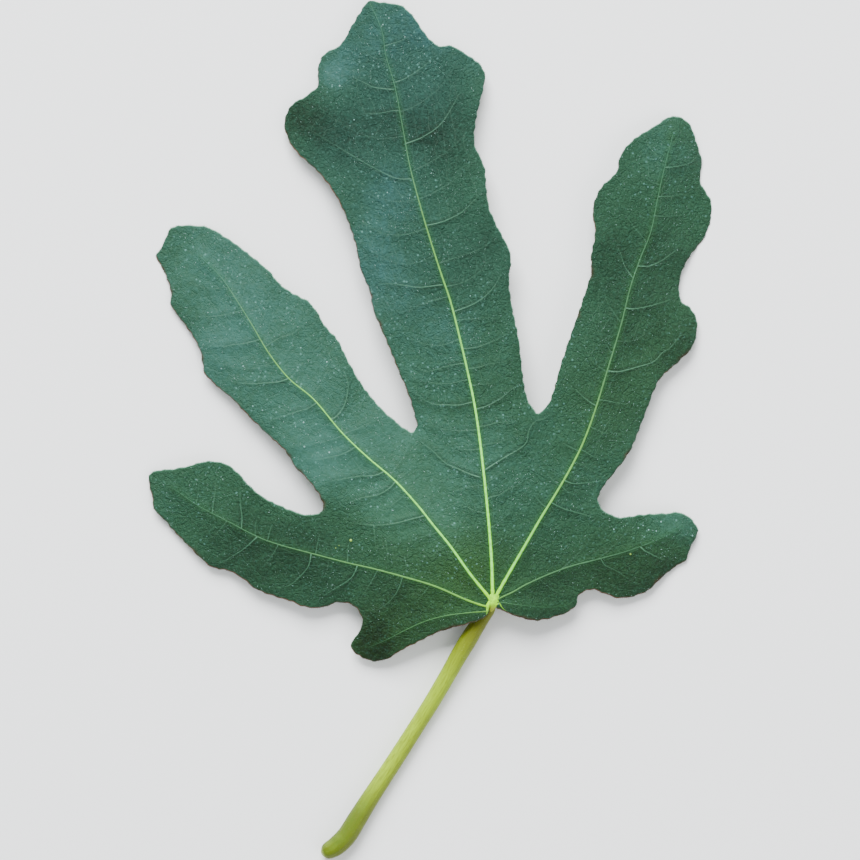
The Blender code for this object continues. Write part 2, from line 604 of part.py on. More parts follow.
def make_stalk(collection, cutters):
    """The stalk, its knob and the ribs as one solid, cut flat where it lies on the surface."""
    margin, ribs, veins = leaf_lines()
    parts = bpy.data.collections.new("fig_leaf_stalk_parts")
    bpy.context.scene.collection.children.link(parts)
    middle_line = [(x, y, under + radius, radius) for x, y, under, radius in STALK_ROUTE]
    stalk = tube("stalk", smooth_route(middle_line, STALK_STEP), STALK_SIDES, collection)
    make_knob(parts)
    for name, rib in RIBS.items():
        tube("rib_" + name, rib_route(rib, margin, ribs, veins), RIB_SIDES, parts)
    join = stalk.modifiers.new("join", "BOOLEAN")
    join.operation = "UNION"
    join.operand_type = "COLLECTION"
    join.collection = parts
    join.solver = "EXACT"
    graph = bpy.context.evaluated_depsgraph_get()
    joined = bpy.data.meshes.new_from_object(stalk.evaluated_get(graph))
    stalk.modifiers.clear()
    stalk.data = joined
    for piece in list(parts.objects):
        bpy.data.objects.remove(piece)
    bpy.data.collections.remove(parts)
    joined.materials.clear()
    joined.materials.append(material("stalk_yellow_green", (0.42, 0.48, 0.12), 0.5))
    rest = stalk.modifiers.new("flat_spot", "BOOLEAN")
    rest.operation = "DIFFERENCE"
    rest.object = make_surface(cutters)
    rest.solver = "EXACT"


def main():
    """Clears the scene and builds both solids."""
    for old in list(bpy.data.objects):
        bpy.data.objects.remove(old)
    collection = bpy.data.collections.new(COLLECTION)
    cutters = bpy.data.collections.new(CUTTERS)
    for new in (collection, cutters):
        bpy.context.scene.collection.children.link(new)
    make_blade(collection)
    make_stalk(collection, cutters)


main()
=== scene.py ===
"""A picked fig leaf lying face up on a pale floor, seen from straight above.

The leaf's outline, ribs, side veins and resting heights are the maker's own values, in
millimetres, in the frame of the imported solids. The blade and the stalk are rebuilt finer here,
with their veins, hairs and colours.
"""

import math

import bpy
import numpy as np
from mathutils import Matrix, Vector
from mathutils.geometry import delaunay_2d_cdt


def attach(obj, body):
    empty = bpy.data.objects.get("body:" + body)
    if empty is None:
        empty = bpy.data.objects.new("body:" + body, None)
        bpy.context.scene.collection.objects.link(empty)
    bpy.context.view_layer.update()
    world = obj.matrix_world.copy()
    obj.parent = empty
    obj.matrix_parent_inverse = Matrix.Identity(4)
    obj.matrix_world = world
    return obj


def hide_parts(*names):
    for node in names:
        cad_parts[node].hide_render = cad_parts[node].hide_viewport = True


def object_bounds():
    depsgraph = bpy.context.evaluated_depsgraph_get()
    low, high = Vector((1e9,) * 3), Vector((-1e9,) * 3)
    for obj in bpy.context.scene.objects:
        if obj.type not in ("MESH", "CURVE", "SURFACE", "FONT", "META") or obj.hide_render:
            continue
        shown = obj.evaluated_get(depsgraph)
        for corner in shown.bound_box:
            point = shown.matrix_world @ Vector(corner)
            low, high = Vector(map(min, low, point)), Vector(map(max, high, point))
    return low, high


MM = 0.001
ROOT = "root"


def rgb(red, green, blue):
    """A colour from display values between 0 and 255, as linear light."""
    display = np.array([red, green, blue]) / 255.0
    linear = np.where(display <= 0.04045, display / 12.92, ((display + 0.055) / 1.055) ** 2.4)
    return (*linear.tolist(), 1.0)


# Skin of the blade: the tone it has before any paling, its colours, and its tints, the bluer
# one a painted sheen that stands for the reflected sky
TONE_BASE = 0.5
SKIN_DARK = rgb(15, 32, 18)
SKIN_MIDDLE = rgb(38, 71, 49)
SKIN_PALE = rgb(58, 102, 90)
WARM_TINT = (1.15, 1.0, 0.38, 1.0)
SKY_SHEEN_TINT = (0.98, 0.97, 1.48, 1.0)
PIT_SHADE = rgb(12, 36, 24)
NET_LINE = rgb(64, 114, 92)
SPECK = rgb(92, 142, 132)

# Veins and ribs
VEIN_PALE = rgb(74, 124, 94)
RIB_PALE = rgb(136, 238, 104)
RIB_FAINT = rgb(138, 212, 92)
RIB_FAR = rgb(116, 176, 132)
RIB_EDGE = rgb(112, 190, 14)
RIB_YELLOW = rgb(168, 246, 0)
RIB_GLOW = rgb(44, 92, 36)

# Margin, with its painted highlight and painted brown shade, and underside
SCAR = rgb(66, 40, 26)
PAINTED_SHADED_EDGE = rgb(108, 70, 54)
PAINTED_LIT_EDGE = rgb(104, 156, 128)
UNDERSIDE = rgb(86, 112, 76)
UNDERSIDE_NET = rgb(112, 134, 90)
KEEL = rgb(150, 160, 54)

# Stalk
STALK_OLIVE = rgb(94, 100, 0)
STALK_LIGHT = rgb(146, 176, 0)
STALK_GREEN = rgb(80, 104, 0)
STALK_PALE = rgb(156, 184, 40)
STALK_CUT = rgb(150, 168, 70)

# Hairs, flecks and galls: the dull and the bright end of each, and the plain floor
BRIGHT_HAIR = rgb(84, 132, 120), rgb(166, 204, 196)
FINE_HAIR = rgb(60, 98, 84), rgb(104, 140, 128)
STALK_DOWN = rgb(120, 134, 30), rgb(176, 190, 96)
FLECK = rgb(84, 130, 120), rgb(124, 168, 160)
GALL = rgb(104, 140, 40), rgb(150, 190, 84)
FLOOR_PAINT = rgb(250, 250, 250)

# Camera: overhead, one photograph width is this many millimetres of floor
PHOTO_WIDTH = 215.3
CAMERA_HEIGHT = 900.0
SENSOR = 36.0

# Blade: sheet thickness, spacing of the fine surface, and how near its points may come
SHEET = 0.5
FINE_STEP = 0.56
LINE_STEP = 0.5
FILL_SHARE = 0.6
FILL_LOW = (-72.0, -60.0)
FILL_HIGH = (72.0, 109.0)
WELD = 0.00001

# Relief of the blade: the ridge over each rib and vein, the broad fold over each rib, the waves
# along the margin, and the place from which they start beside the knob
RIDGE_HEIGHT = 0.5
RIDGE_SAG = 0.25
RIDGE_WIDTH = 1.5
FOLD_HEIGHT = 0.5
FOLD_WIDTH = 5.0
MARGIN_WAVE = 0.7
MARGIN_WAVE_REACH = 7.0
WAVE_LENGTH_X = 19.0
WAVE_LENGTH_Y = 23.0
WAVE_STARTS = 20.0

# Quilting of the blade between the finest veins, and how far its rows sway
QUILT_HEIGHT = 0.05
QUILT_LENGTH = 2.9
QUILT_SWAY = 0.7

# Routes: samples in each span between two points, and the step of the rough ones that
# distances are measured to, with how pale a rib is at its tip and how much of a vein's show is
# left at its end
SPAN_SAMPLES = 24
ROUGH_STEP = 1.5
RIB_END_PALE = 0.2
VEIN_END_SHARE = 0.3

# How far from a rib, a vein or the margin distances are measured
RIB_REACH = 14.0
VEIN_REACH = 7.0
MARGIN_REACH = 24.0

# The place where the stalk meets the blade, the crown where the ribs run together, and how far
# the crown's colour reaches
KNOB = (15.4, -42.6)
CROWN = (15.5, -42.8)
CROWN_REACH = 5.0

# Ribs: spacing of their stations, how deep their middle line lies, the beads along them, and
# the keel's depth in radii
RIB_STEP = 0.4
RIB_SUNK = 0.1
BEAD_LENGTH = 2.7
BEAD_SHARE = 0.06
KEEL_DEPTH = 1.7

# How deep the middle line of side veins and rims lies, and the least height of a keel off the
# floor
VEIN_SUNK = 0.1
KEEL_CLEAR = 0.02

# Margin: how far it is pared down, over what width, the free strip inside that, and the width
# of its brown scars
PARED = 0.5
PARED_WIDTH = 0.3
PARED_CLEAR = 0.3
SCAR_WIDTH = 0.4

# Fine unevenness of the margin: for each wave its height and length, and how far and over what
# length it is hastened and slowed, and where the waves start beside the knob
NICKS = [(0.09, 3.3, 1.5, 17.0), (0.05, 1.9, 2.0, 11.0)]
NICK_STARTS = 6.0

# The way, towards the light, that the stretches of margin with a painted highlight face. Those
# that face the other way get painted shade in brown.
LIT_RIM_FACING = (0.35, 0.94)

# Cross veins: seed, gap between neighbours, and the shortest and longest that are drawn
CROSS_SEED = 3
CROSS_GAP = 2.6
CROSS_SHORTEST = 1.5
CROSS_LONGEST = 9.0

# Stalk: the rounding of its cut end
END_ROUND = 1.9

# Hairs: the seed of their draws, their number, or on the blade a third of how many are tried,
# and the least and greatest length and radius
BLADE_HAIRS = {
    "bright_hairs": (7, 3400, (0.15, 0.55), (0.04, 0.08)),
    "fine_hairs": (8, 9000, (0.3, 0.9), (0.025, 0.045)),
}
MARGIN_HAIRS = (11, 5000, (0.15, 0.5), (0.02, 0.035))
STALK_HAIRS = (17, 1800, (0.12, 0.35), (0.02, 0.03))

# Lights: name, place and size in metres, watts and colour, and the sky's colour and strength
LIGHTS = [
    ("window", (-0.35, 1.6, 1.5), 1.4, 145.0, (0.97, 0.99, 1.0)),
    ("fill", (1.5, -1.0, 1.8), 1.8, 26.0, (1.0, 0.99, 0.96)),
]
SKY_COLOUR = (0.92, 0.96, 1.0, 1.0)
SKY = 0.75

# The margin, clockwise from the left of the knob, one list for each stretch
MARGIN = {
    "left_base": [
        (14.35, -45.6), (13.2, -46.7), (11.0, -47.6), (7.0, -48.75), (2.0, -50.25), (-2.5, -52.5),
        (-7.0, -54.75), (-10.0, -56.75), (-13.75, -57.75), (-17.5, -56.5), (-19.75, -54.25),
    ],
    "left_lobule_to_left_basal_tip": [
        (-18.75, -51.75), (-17.0, -49.0), (-17.25, -46.0), (-19.5, -43.5), (-23.25, -43.0),
        (-26.75, -44.25), (-31.25, -44.1), (-34.5, -42.75), (-38.75, -41.5), (-43.25, -39.75),
        (-46.5, -37.25), (-50.0, -35.25), (-54.5, -34.25), (-57.75, -31.5), (-61.0, -28.25),
        (-64.25, -25.0), (-66.25, -22.5), (-68.75, -20.0), (-69.5, -16.25), (-70.5, -12.25),
    ],
    "left_basal_upper_side": [
        (-69.75, -10.75), (-67.5, -10.0), (-63.25, -9.6), (-59.5, -8.75), (-55.5, -7.75),
        (-50.75, -8.5), (-47.5, -11.0), (-44.5, -14.25), (-41.0, -17.0), (-36.75, -19.0),
        (-33.0, -20.5), (-29.75, -21.1), (-27.0, -20.25),
    ],
    "left_upper_lower_side": [
        (-26.5, -19.0), (-27.5, -16.25), (-30.25, -12.5), (-33.5, -9.25), (-36.0, -5.25),
        (-40.0, -1.5), (-45.0, 3.25), (-49.25, 7.75), (-52.75, 10.5), (-56.0, 13.75),
        (-56.75, 16.25), (-57.25, 19.5), (-59.5, 23.75), (-62.75, 28.25), (-64.75, 31.0),
        (-64.75, 33.5), (-65.0, 35.5), (-66.5, 39.5), (-68.5, 43.5), (-67.0, 46.0),
        (-65.75, 49.0), (-64.5, 50.75),
    ],
    "left_upper_upper_side": [
        (-61.25, 51.25), (-57.5, 51.0), (-55.0, 50.5), (-50.0, 47.5), (-46.25, 44.75),
        (-42.5, 41.75), (-39.75, 39.25), (-37.25, 36.25), (-34.0, 34.0), (-30.25, 32.0),
        (-28.0, 29.25), (-26.0, 25.75), (-23.0, 22.5), (-21.25, 19.0), (-18.75, 14.25),
        (-16.0, 10.0), (-12.0, 5.25), (-7.75, 1.5), (-4.75, -0.5), (-3.25, 0.75),
    ],
    "middle_left_side": [
        (-3.5, 2.5), (-5.25, 8.5), (-7.75, 14.5), (-11.0, 22.5), (-14.0, 29.5),
        (-15.0, 34.5), (-17.25, 40.0), (-18.25, 45.0), (-19.75, 50.0), (-21.75, 55.0),
        (-24.4, 59.8), (-28.2, 64.6), (-33.6, 69.6), (-36.0, 74.25), (-36.25, 77.5),
        (-34.5, 81.25), (-30.75, 83.5), (-28.0, 86.0), (-28.0, 90.0), (-26.5, 93.75),
        (-22.25, 96.25), (-20.0, 100.0), (-17.75, 103.75), (-15.25, 107.1),
    ],
    "middle_right_side": [
        (-12.5, 106.75), (-7.5, 106.0), (-4.25, 103.25), (-1.5, 99.25), (1.75, 96.0),
        (5.5, 95.75), (9.0, 93.75), (12.5, 91.25), (13.75, 88.0), (12.75, 83.0),
        (11.5, 77.5), (11.1, 71.25), (13.5, 65.5), (14.0, 60.0), (14.75, 55.0),
        (16.75, 50.5), (19.75, 44.5), (20.0, 40.5), (19.6, 37.5), (20.25, 31.25),
        (22.0, 22.5), (23.0, 13.75), (24.05, 8.1), (25.75, 5.0), (27.0, 4.25),
    ],
    "right_upper_left_side": [
        (29.25, 6.25), (30.75, 10.0), (32.25, 15.5), (34.25, 21.5), (36.5, 28.0),
        (38.25, 33.25), (40.0, 38.75), (40.0, 43.25), (41.0, 48.75), (40.5, 55.0),
        (42.5, 60.25), (46.25, 64.0), (47.5, 68.5), (50.75, 72.4), (55.25, 75.25),
        (59.5, 78.0), (61.75, 78.25),
    ],
    "right_upper_right_side": [
        (64.75, 76.5), (66.75, 71.5), (68.0, 67.0), (67.5, 63.0), (68.0, 61.25),
        (70.4, 57.0), (70.15, 52.5), (68.5, 48.0), (65.0, 43.5), (62.75, 39.0),
        (62.25, 35.0), (62.75, 32.25), (65.25, 30.25), (66.75, 26.75), (65.75, 21.25),
        (62.25, 17.25), (57.75, 13.25), (55.75, 9.75), (53.0, 2.5), (49.9, -5.0),
        (46.0, -10.4), (43.0, -14.25), (41.75, -17.5),
    ],
    "right_basal": [
        (43.5, -20.25), (47.5, -21.75), (52.5, -21.1), (58.75, -20.75), (62.5, -20.6),
        (65.25, -22.25), (67.0, -25.25), (65.0, -29.5), (64.0, -32.5), (60.5, -34.75),
        (57.25, -37.5), (53.75, -40.5), (48.0, -42.0), (44.0, -41.0), (40.5, -39.75),
        (37.5, -40.75),
    ],
    "right_base": [
        (36.75, -42.0), (36.0, -44.25), (32.5, -46.1), (26.25, -47.4), (20.5, -45.95),
        (18.3, -44.95),
    ],
    "notch_under_hub": [
        (17.1, -44.45), (16.5, -44.3), (16.1, -43.5), (15.4, -43.0), (14.8, -43.5), (14.6, -44.4),
    ],
}

# The five even places along a rib at which its width and paleness are given
FIFTHS = (0.0, 0.25, 0.5, 0.75, 1.0)

# The main ribs from the hub outwards: the width seen on the upper face and how pale it is, how
# much of the crown's yellow it takes where that isn't all, the radius that stands out below,
# at the start and at the tip, and the route
RIBS = {
    "middle": dict(
        widths=(0.85, 0.6, 0.45, 0.3, 0.15),
        pale=(1.0, 1.0, 0.5, 0.2, 0.14),
        radii=(1.15, 0.3),
        route=[
            (15.7, -42.6), (15.5, -40.0), (15.25, -32.5), (14.5, -22.5), (13.5, -12.5),
            (12.5, -3.75), (11.25, 5.0), (9.75, 12.5), (7.75, 21.25), (5.25, 31.25),
            (2.75, 38.75), (0.5, 45.75), (-2.25, 55.0), (-5.0, 65.5), (-6.75, 75.0),
            (-8.75, 85.5), (-11.0, 93.25), (-12.0, 99.5), (-14.9, 106.3),
        ],
    ),
    "left_upper": dict(
        widths=(0.8, 0.46, 0.36, 0.32, 0.2),
        pale=(0.8, 0.88, 0.7, 0.34, 0.08),
        radii=(1.05, 0.3),
        route=[
            (15.2, -42.6), (14.25, -41.0), (10.0, -35.75), (5.0, -28.75), (0.75, -23.5),
            (-3.0, -18.75), (-8.75, -12.5), (-15.5, -6.75), (-22.0, -0.5), (-28.75, 7.5),
            (-35.0, 12.75), (-40.0, 19.0), (-44.5, 26.5), (-48.75, 33.25), (-52.25, 38.25),
            (-57.0, 43.0),
        ],
    ),
    "right_upper": dict(
        widths=(0.85, 0.52, 0.42, 0.34, 0.22),
        pale=(0.92, 0.54, 0.24, 0.17, 0.1),
        radii=(1.05, 0.3),
        route=[
            (16.0, -42.2), (16.75, -40.5), (20.0, -34.75), (23.75, -28.25), (27.5, -21.75),
            (31.5, -15.25), (35.5, -8.25), (38.25, -2.5), (41.0, 5.0), (44.25, 15.5),
            (47.5, 26.25), (49.75, 35.25), (52.25, 42.5), (55.0, 49.5), (56.75, 58.0),
            (58.5, 65.75), (60.5, 73.5),
        ],
    ),
    "left_basal": dict(
        widths=(0.52, 0.46, 0.36, 0.28, 0.18),
        pale=(0.46, 0.34, 0.27, 0.18, 0.1),
        radii=(0.8, 0.25),
        route=[
            (14.8, -43.7), (13.3, -43.6), (8.75, -42.0), (1.25, -38.75), (-6.25, -36.5),
            (-13.75, -34.5), (-20.75, -32.9), (-30.0, -30.5), (-37.5, -28.5), (-43.0, -26.5),
            (-50.0, -22.9), (-57.5, -19.0), (-64.1, -14.5),
        ],
    ),
    "right_basal": dict(
        widths=(0.42, 0.4, 0.36, 0.28, 0.16),
        pale=(0.3, 0.22, 0.18, 0.1, 0.03),
        yellow=0.25,
        radii=(0.75, 0.25),
        route=[
            (16.0, -42.5), (17.9, -41.4), (20.5, -40.2), (24.1, -38.2), (30.0, -35.6),
            (35.1, -33.8), (41.5, -32.2), (47.9, -30.5), (52.4, -29.0), (56.9, -27.3),
            (62.5, -24.6),
        ],
    ),
    "left_lobule": dict(
        widths=(0.38, 0.27, 0.22, 0.17, 0.12),
        pale=(0.2, 0.24, 0.24, 0.2, 0.1),
        radii=(0.6, 0.25),
        route=[
            (14.2, -45.1), (13.2, -45.05), (8.75, -45.4), (3.75, -46.1), (-1.25, -47.5),
            (-6.25, -49.8), (-11.25, -52.4), (-15.5, -54.2),
        ],
    ),
    "right_lobule": dict(
        widths=(0.36, 0.3, 0.24, 0.18, 0.12),
        pale=(0.1, 0.1, 0.08, 0.05, 0.0),
        yellow=0.25,
        radii=(0.55, 0.25),
        route=[
            (16.0, -43.0), (17.5, -42.75), (22.5, -43.5), (28.75, -44.1), (34.0, -44.0),
        ],
    ),
}

# The side veins in the order of their roots along the rib: how strongly each one shows, from
# 0 to 1, and its route from the rib outwards
SIDE_VEINS = {
    "middle_left": [
        (0.4, [(13.7, -20.6), (11.25, -20.0), (8.9, -19.0), (6.5, -18.6)]),
        (0.4, [(13.1, -13.75), (10.5, -14.0), (8.1, -14.4), (6.5, -14.9)]),
        (1.0, [
            (12.5, -11.75), (10.1, -11.0), (6.5, -9.4), (4.1, -8.4), (2.25, -6.75),
            (0.5, -5.0), (-2.25, -3.0),
        ]),
        (0.5, [(12.25, -4.75), (9.75, -4.9), (7.25, -4.75), (6.1, -4.0)]),
        (0.4, [(11.75, 0.0), (5.0, 0.0), (-1.0, 1.5)]),
        (0.9, [(10.75, 7.0), (7.5, 6.25), (3.75, 6.25), (0.0, 6.75), (-3.75, 9.25)]),
        (0.4, [(9.25, 12.5), (3.75, 11.5), (-2.5, 12.5), (-6.25, 15.0)]),
        (0.6, [(8.5, 16.5), (5.5, 16.1), (2.25, 15.3), (-0.9, 14.5), (-3.75, 15.9)]),
        (0.4, [(7.25, 22.5), (2.5, 21.0), (-2.5, 21.75), (-7.5, 24.5)]),
        (0.5, [(4.7, 33.1), (2.3, 32.5), (-0.5, 31.75), (-3.3, 30.8), (-5.75, 30.4)]),
        (0.9, [(3.1, 36.0), (-2.5, 35.4), (-5.75, 35.8), (-9.3, 36.3), (-12.9, 36.25)]),
        (0.25, [(1.25, 43.25), (-4.5, 41.25), (-10.0, 42.0), (-15.25, 45.0)]),
        (0.4, [(-0.75, 50.0), (-6.5, 48.5), (-12.0, 49.0), (-17.0, 52.0)]),
        (0.2, [(-2.75, 57.25), (-9.0, 56.75), (-15.0, 58.5), (-20.5, 61.5)]),
        (0.6, [(-4.6, 62.3), (-8.3, 62.5), (-12.9, 64.6), (-20.0, 68.7), (-31.0, 75.5)]),
        (0.2, [(-6.25, 73.0), (-13.0, 72.5), (-20.0, 75.0), (-27.5, 80.5)]),
        (0.6, [(-7.4, 79.4), (-9.4, 79.4), (-11.8, 78.9), (-15.0, 78.75), (-17.5, 78.5)]),
        (0.8, [(-9.0, 84.7), (-13.8, 85.3), (-16.25, 86.5), (-18.25, 87.3), (-19.4, 88.3)]),
        (0.2, [(-10.75, 92.25), (-14.0, 92.75), (-17.5, 95.5)]),
    ],
    "middle_right": [
        (0.5, [(15.1, -28.8), (17.25, -27.6), (18.7, -26.6), (20.1, -26.4)]),
        (0.5, [(14.7, -24.4), (17.25, -22.75), (19.25, -21.0), (20.25, -20.25)]),
        (0.6, [(14.1, -16.8), (17.25, -16.0), (19.25, -14.75), (22.0, -13.4), (22.9, -12.4)]),
        (0.4, [(13.6, -13.3), (16.5, -11.4), (18.5, -10.2)]),
        (1.0, [
            (13.4, -10.0), (18.1, -7.0), (21.9, -4.8), (23.9, -3.0), (24.5, -0.1),
            (26.25, 2.3), (28.6, 2.9), (29.5, 3.8),
        ]),
        (0.4, [(12.5, -3.8), (15.7, -3.2), (18.1, -2.9)]),
        (0.6, [(11.9, 0.8), (14.7, 1.3), (16.25, 1.8), (19.5, 2.1), (21.5, 1.9)]),
        (0.9, [(11.2, 5.1), (13.9, 5.9), (15.9, 6.9), (18.3, 8.5), (21.9, 11.5)]),
        (0.4, [(10.1, 11.1), (13.1, 11.3), (15.5, 11.75)]),
        (0.5, [(9.2, 15.2), (11.9, 15.5), (14.3, 16.3), (17.5, 16.75), (19.1, 17.1)]),
        (0.6, [(8.0, 20.1), (11.5, 20.5), (14.25, 21.5), (17.5, 22.9), (19.9, 24.3)]),
        (0.5, [(6.3, 27.1), (9.5, 27.5), (12.7, 27.75), (15.9, 27.9)]),
        (0.9, [(5.75, 29.25), (11.25, 31.5), (15.0, 34.5), (17.5, 38.25)]),
        (0.4, [(4.0, 35.5), (9.0, 37.0), (14.5, 41.0)]),
        (0.4, [(2.0, 41.25), (6.25, 42.75), (12.0, 44.75), (16.0, 47.5)]),
        (0.9, [(-1.0, 50.7), (2.6, 51.5), (5.0, 52.5), (8.2, 54.3), (12.6, 58.75)]),
        (0.25, [(-2.75, 57.25), (2.0, 59.5), (6.5, 62.5), (10.75, 66.5)]),
        (0.25, [(-4.5, 64.25), (0.0, 66.5), (5.0, 69.75), (9.0, 74.0)]),
        (0.9, [(-6.25, 71.0), (-1.5, 73.0), (3.0, 76.5), (7.5, 84.0)]),
        (0.25, [(-7.5, 79.0), (-3.0, 81.0), (2.0, 85.0), (6.0, 90.5)]),
        (0.6, [(-9.2, 86.4), (-6.25, 87.5), (-1.75, 90.5), (1.0, 93.0)]),
        (0.5, [(-11.4, 95.6), (-7.5, 96.9), (-4.6, 98.3)]),
    ],
    "left_upper_upper": [
        (0.4, [(5.2, -29.0), (6.1, -28.0), (6.5, -26.0), (6.4, -24.75)]),
        (0.4, [(-1.8, -20.4), (-0.9, -19.6), (-0.75, -18.2), (0.0, -16.75)]),
        (0.3, [(-10.0, -11.25), (-6.5, -6.5), (-5.5, -3.0)]),
        (0.35, [(-21.5, -0.9), (-18.6, 0.1), (-16.1, 1.2), (-13.5, 2.3)]),
        (0.9, [
            (-24.9, 2.6), (-23.2, 3.4), (-21.2, 6.3), (-20.4, 10.0), (-20.4, 11.8),
            (-21.4, 14.7),
        ]),
        (0.25, [(-29.5, 8.25), (-26.25, 13.0), (-24.75, 19.5)]),
        (0.2, [(-34.75, 12.75), (-31.5, 17.0), (-30.0, 21.5)]),
        (0.4, [(-41.0, 20.7), (-37.2, 23.0), (-34.5, 23.8), (-32.5, 25.3), (-30.8, 27.0)]),
        (0.2, [(-43.25, 24.25), (-41.0, 29.5), (-39.75, 36.0)]),
        (0.15, [(-47.25, 31.0), (-46.0, 36.0), (-45.5, 41.0)]),
        (0.15, [(-51.0, 36.5), (-51.0, 41.0), (-51.5, 46.0)]),
    ],
    "left_upper_lower": [
        (0.4, [(4.6, -28.3), (2.1, -29.75), (0.5, -31.2), (-0.75, -32.2)]),
        (0.5, [(2.1, -25.3), (-0.3, -26.0), (-2.3, -26.6), (-5.1, -27.6), (-6.3, -27.6)]),
        (0.9, [
            (-1.2, -21.2), (-4.7, -22.1), (-7.6, -22.9), (-10.6, -23.4), (-13.9, -23.6),
            (-19.8, -23.0),
        ]),
        (0.4, [(-5.9, -15.5), (-7.6, -17.2), (-9.5, -18.6), (-10.6, -20.1)]),
        (0.9, [
            (-8.55, -12.7), (-9.8, -14.2), (-11.7, -15.5), (-13.5, -16.25), (-16.4, -16.7),
            (-20.8, -18.2),
        ]),
        (0.9, [
            (-11.4, -10.3), (-13.1, -11.1), (-15.3, -11.4), (-17.9, -11.5), (-24.5, -12.6),
        ]),
        (0.7, [(-18.3, -4.0), (-19.9, -5.1), (-21.4, -5.8), (-23.2, -6.4), (-29.0, -7.5)]),
        (0.3, [(-21.2, -1.2), (-24.9, -2.5), (-28.9, -3.4), (-34.8, -4.3)]),
        (0.6, [(-28.2, 6.7), (-30.2, 5.4), (-32.2, 4.8), (-38.1, 3.0), (-41.4, 1.5)]),
        (0.9, [(-35.0, 12.8), (-37.5, 12.0), (-40.8, 11.7), (-44.2, 11.5), (-49.2, 12.0)]),
        (0.25, [(-38.5, 17.0), (-45.0, 15.25), (-53.5, 16.75)]),
        (0.7, [(-42.1, 22.6), (-45.8, 21.6), (-48.5, 21.3), (-51.2, 20.9), (-55.8, 21.0)]),
        (0.4, [(-46.6, 29.8), (-50.8, 28.8), (-55.2, 28.3), (-60.5, 28.3)]),
        (0.15, [(-50.25, 35.5), (-56.0, 35.5), (-62.5, 38.0)]),
    ],
    "right_upper_left": [
        (0.5, [(29.25, -19.2), (27.7, -18.4), (26.1, -16.4), (24.5, -15.4)]),
        (0.4, [(32.1, -14.0), (31.3, -13.2), (30.5, -12.5), (29.0, -10.8)]),
        (0.5, [(36.9, -5.2), (35.3, -4.5), (34.0, -3.8), (32.7, -3.2)]),
        (0.9, [(41.35, 6.0), (40.3, 6.5), (39.1, 7.4), (37.9, 8.3), (36.1, 10.1)]),
        (0.25, [(43.9, 14.3), (40.0, 17.5), (38.0, 22.0)]),
        (0.25, [(45.25, 19.0), (41.75, 24.5), (39.75, 30.0)]),
        (0.25, [(47.5, 26.5), (44.25, 31.5), (42.5, 37.0)]),
        (0.7, [(50.5, 37.7), (49.2, 39.5), (48.4, 40.6), (47.5, 43.5), (46.7, 45.4)]),
        (0.25, [(54.0, 46.75), (50.0, 51.5), (47.0, 57.0)]),
        (0.5, [(57.3, 61.0), (55.2, 61.7), (53.8, 62.7), (52.3, 63.3)]),
        (0.3, [(58.5, 66.5), (55.0, 70.0), (53.5, 73.2)]),
    ],
    "right_upper_right": [
        (0.5, [(26.8, -22.7), (28.1, -23.2), (30.1, -24.2), (32.25, -24.5)]),
        (0.9, [
            (29.9, -17.9), (31.6, -18.8), (32.9, -19.4), (36.1, -20.4), (37.7, -20.8),
            (40.9, -21.75),
        ]),
        (0.5, [(32.4, -13.7), (33.7, -15.0), (34.8, -15.7), (36.4, -16.05)]),
        (0.9, [(33.3, -12.5), (35.1, -13.2), (36.4, -13.3), (39.6, -13.0), (42.5, -12.6)]),
        (0.4, [(35.6, -7.9), (37.7, -8.6), (39.1, -9.4), (40.4, -10.2), (41.7, -10.4)]),
        (0.6, [(37.2, -4.7), (39.1, -5.7), (40.4, -6.6), (41.7, -7.0), (43.1, -7.1)]),
        (0.6, [(39.5, 0.9), (41.35, 0.05), (42.7, -0.55), (44.2, -0.9)]),
        (0.7, [(41.8, 7.5), (43.6, 7.3), (45.4, 6.95), (47.2, 6.65), (49.0, 6.5)]),
        (1.0, [
            (44.0, 14.7), (46.0, 14.45), (47.8, 14.65), (52.0, 15.8), (55.6, 17.0),
            (58.0, 19.4), (59.8, 20.45), (62.2, 23.3), (63.7, 23.9),
        ]),
        (0.3, [(46.4, 22.0), (50.5, 22.3), (55.0, 24.5)]),
        (1.0, [(48.6, 30.3), (50.5, 30.1), (53.5, 30.6), (56.8, 31.45), (60.0, 32.5)]),
        (1.0, [
            (51.6, 40.8), (53.5, 40.7), (54.9, 40.9), (57.7, 42.2), (59.1, 43.2),
            (61.55, 45.0),
        ]),
        (0.4, [(56.0, 53.3), (58.0, 53.2), (60.3, 53.4), (62.5, 53.6)]),
        (0.6, [(56.9, 58.05), (58.6, 58.2), (60.3, 58.3), (63.4, 58.9)]),
        (0.8, [(58.6, 65.4), (60.55, 65.55), (63.95, 66.25), (65.4, 67.1), (66.5, 68.25)]),
    ],
    "left_basal_lower": [
        (0.4, [(0.0, -38.3), (-1.5, -40.4), (-3.1, -42.4)]),
        (0.7, [(-6.8, -36.4), (-7.9, -39.6), (-9.9, -42.4), (-12.75, -44.6), (-14.3, -45.0)]),
        (0.5, [(-13.0, -34.7), (-14.3, -37.2), (-16.3, -40.4), (-17.5, -42.0)]),
        (1.0, [(-18.0, -33.6), (-18.9, -35.8), (-20.4, -37.4), (-24.7, -40.1), (-26.8, -41.4)]),
        (0.3, [(-25.0, -31.8), (-25.7, -35.1), (-26.5, -36.9)]),
        (1.0, [
            (-29.5, -30.7), (-30.0, -33.3), (-31.1, -35.1), (-34.0, -38.0), (-35.8, -39.0),
            (-37.9, -39.2),
        ]),
        (0.5, [(-37.75, -28.6), (-39.0, -30.8), (-40.4, -32.6), (-41.9, -34.4)]),
        (0.9, [(-43.0, -26.6), (-46.5, -29.7), (-49.75, -31.7), (-51.2, -32.8), (-53.0, -33.2)]),
        (0.4, [(-50.6, -22.7), (-52.6, -25.1), (-54.0, -26.5)]),
    ],
    "left_basal_upper": [
        (0.6, [(-20.4, -32.9), (-20.5, -31.1), (-20.5, -29.7), (-20.0, -27.9)]),
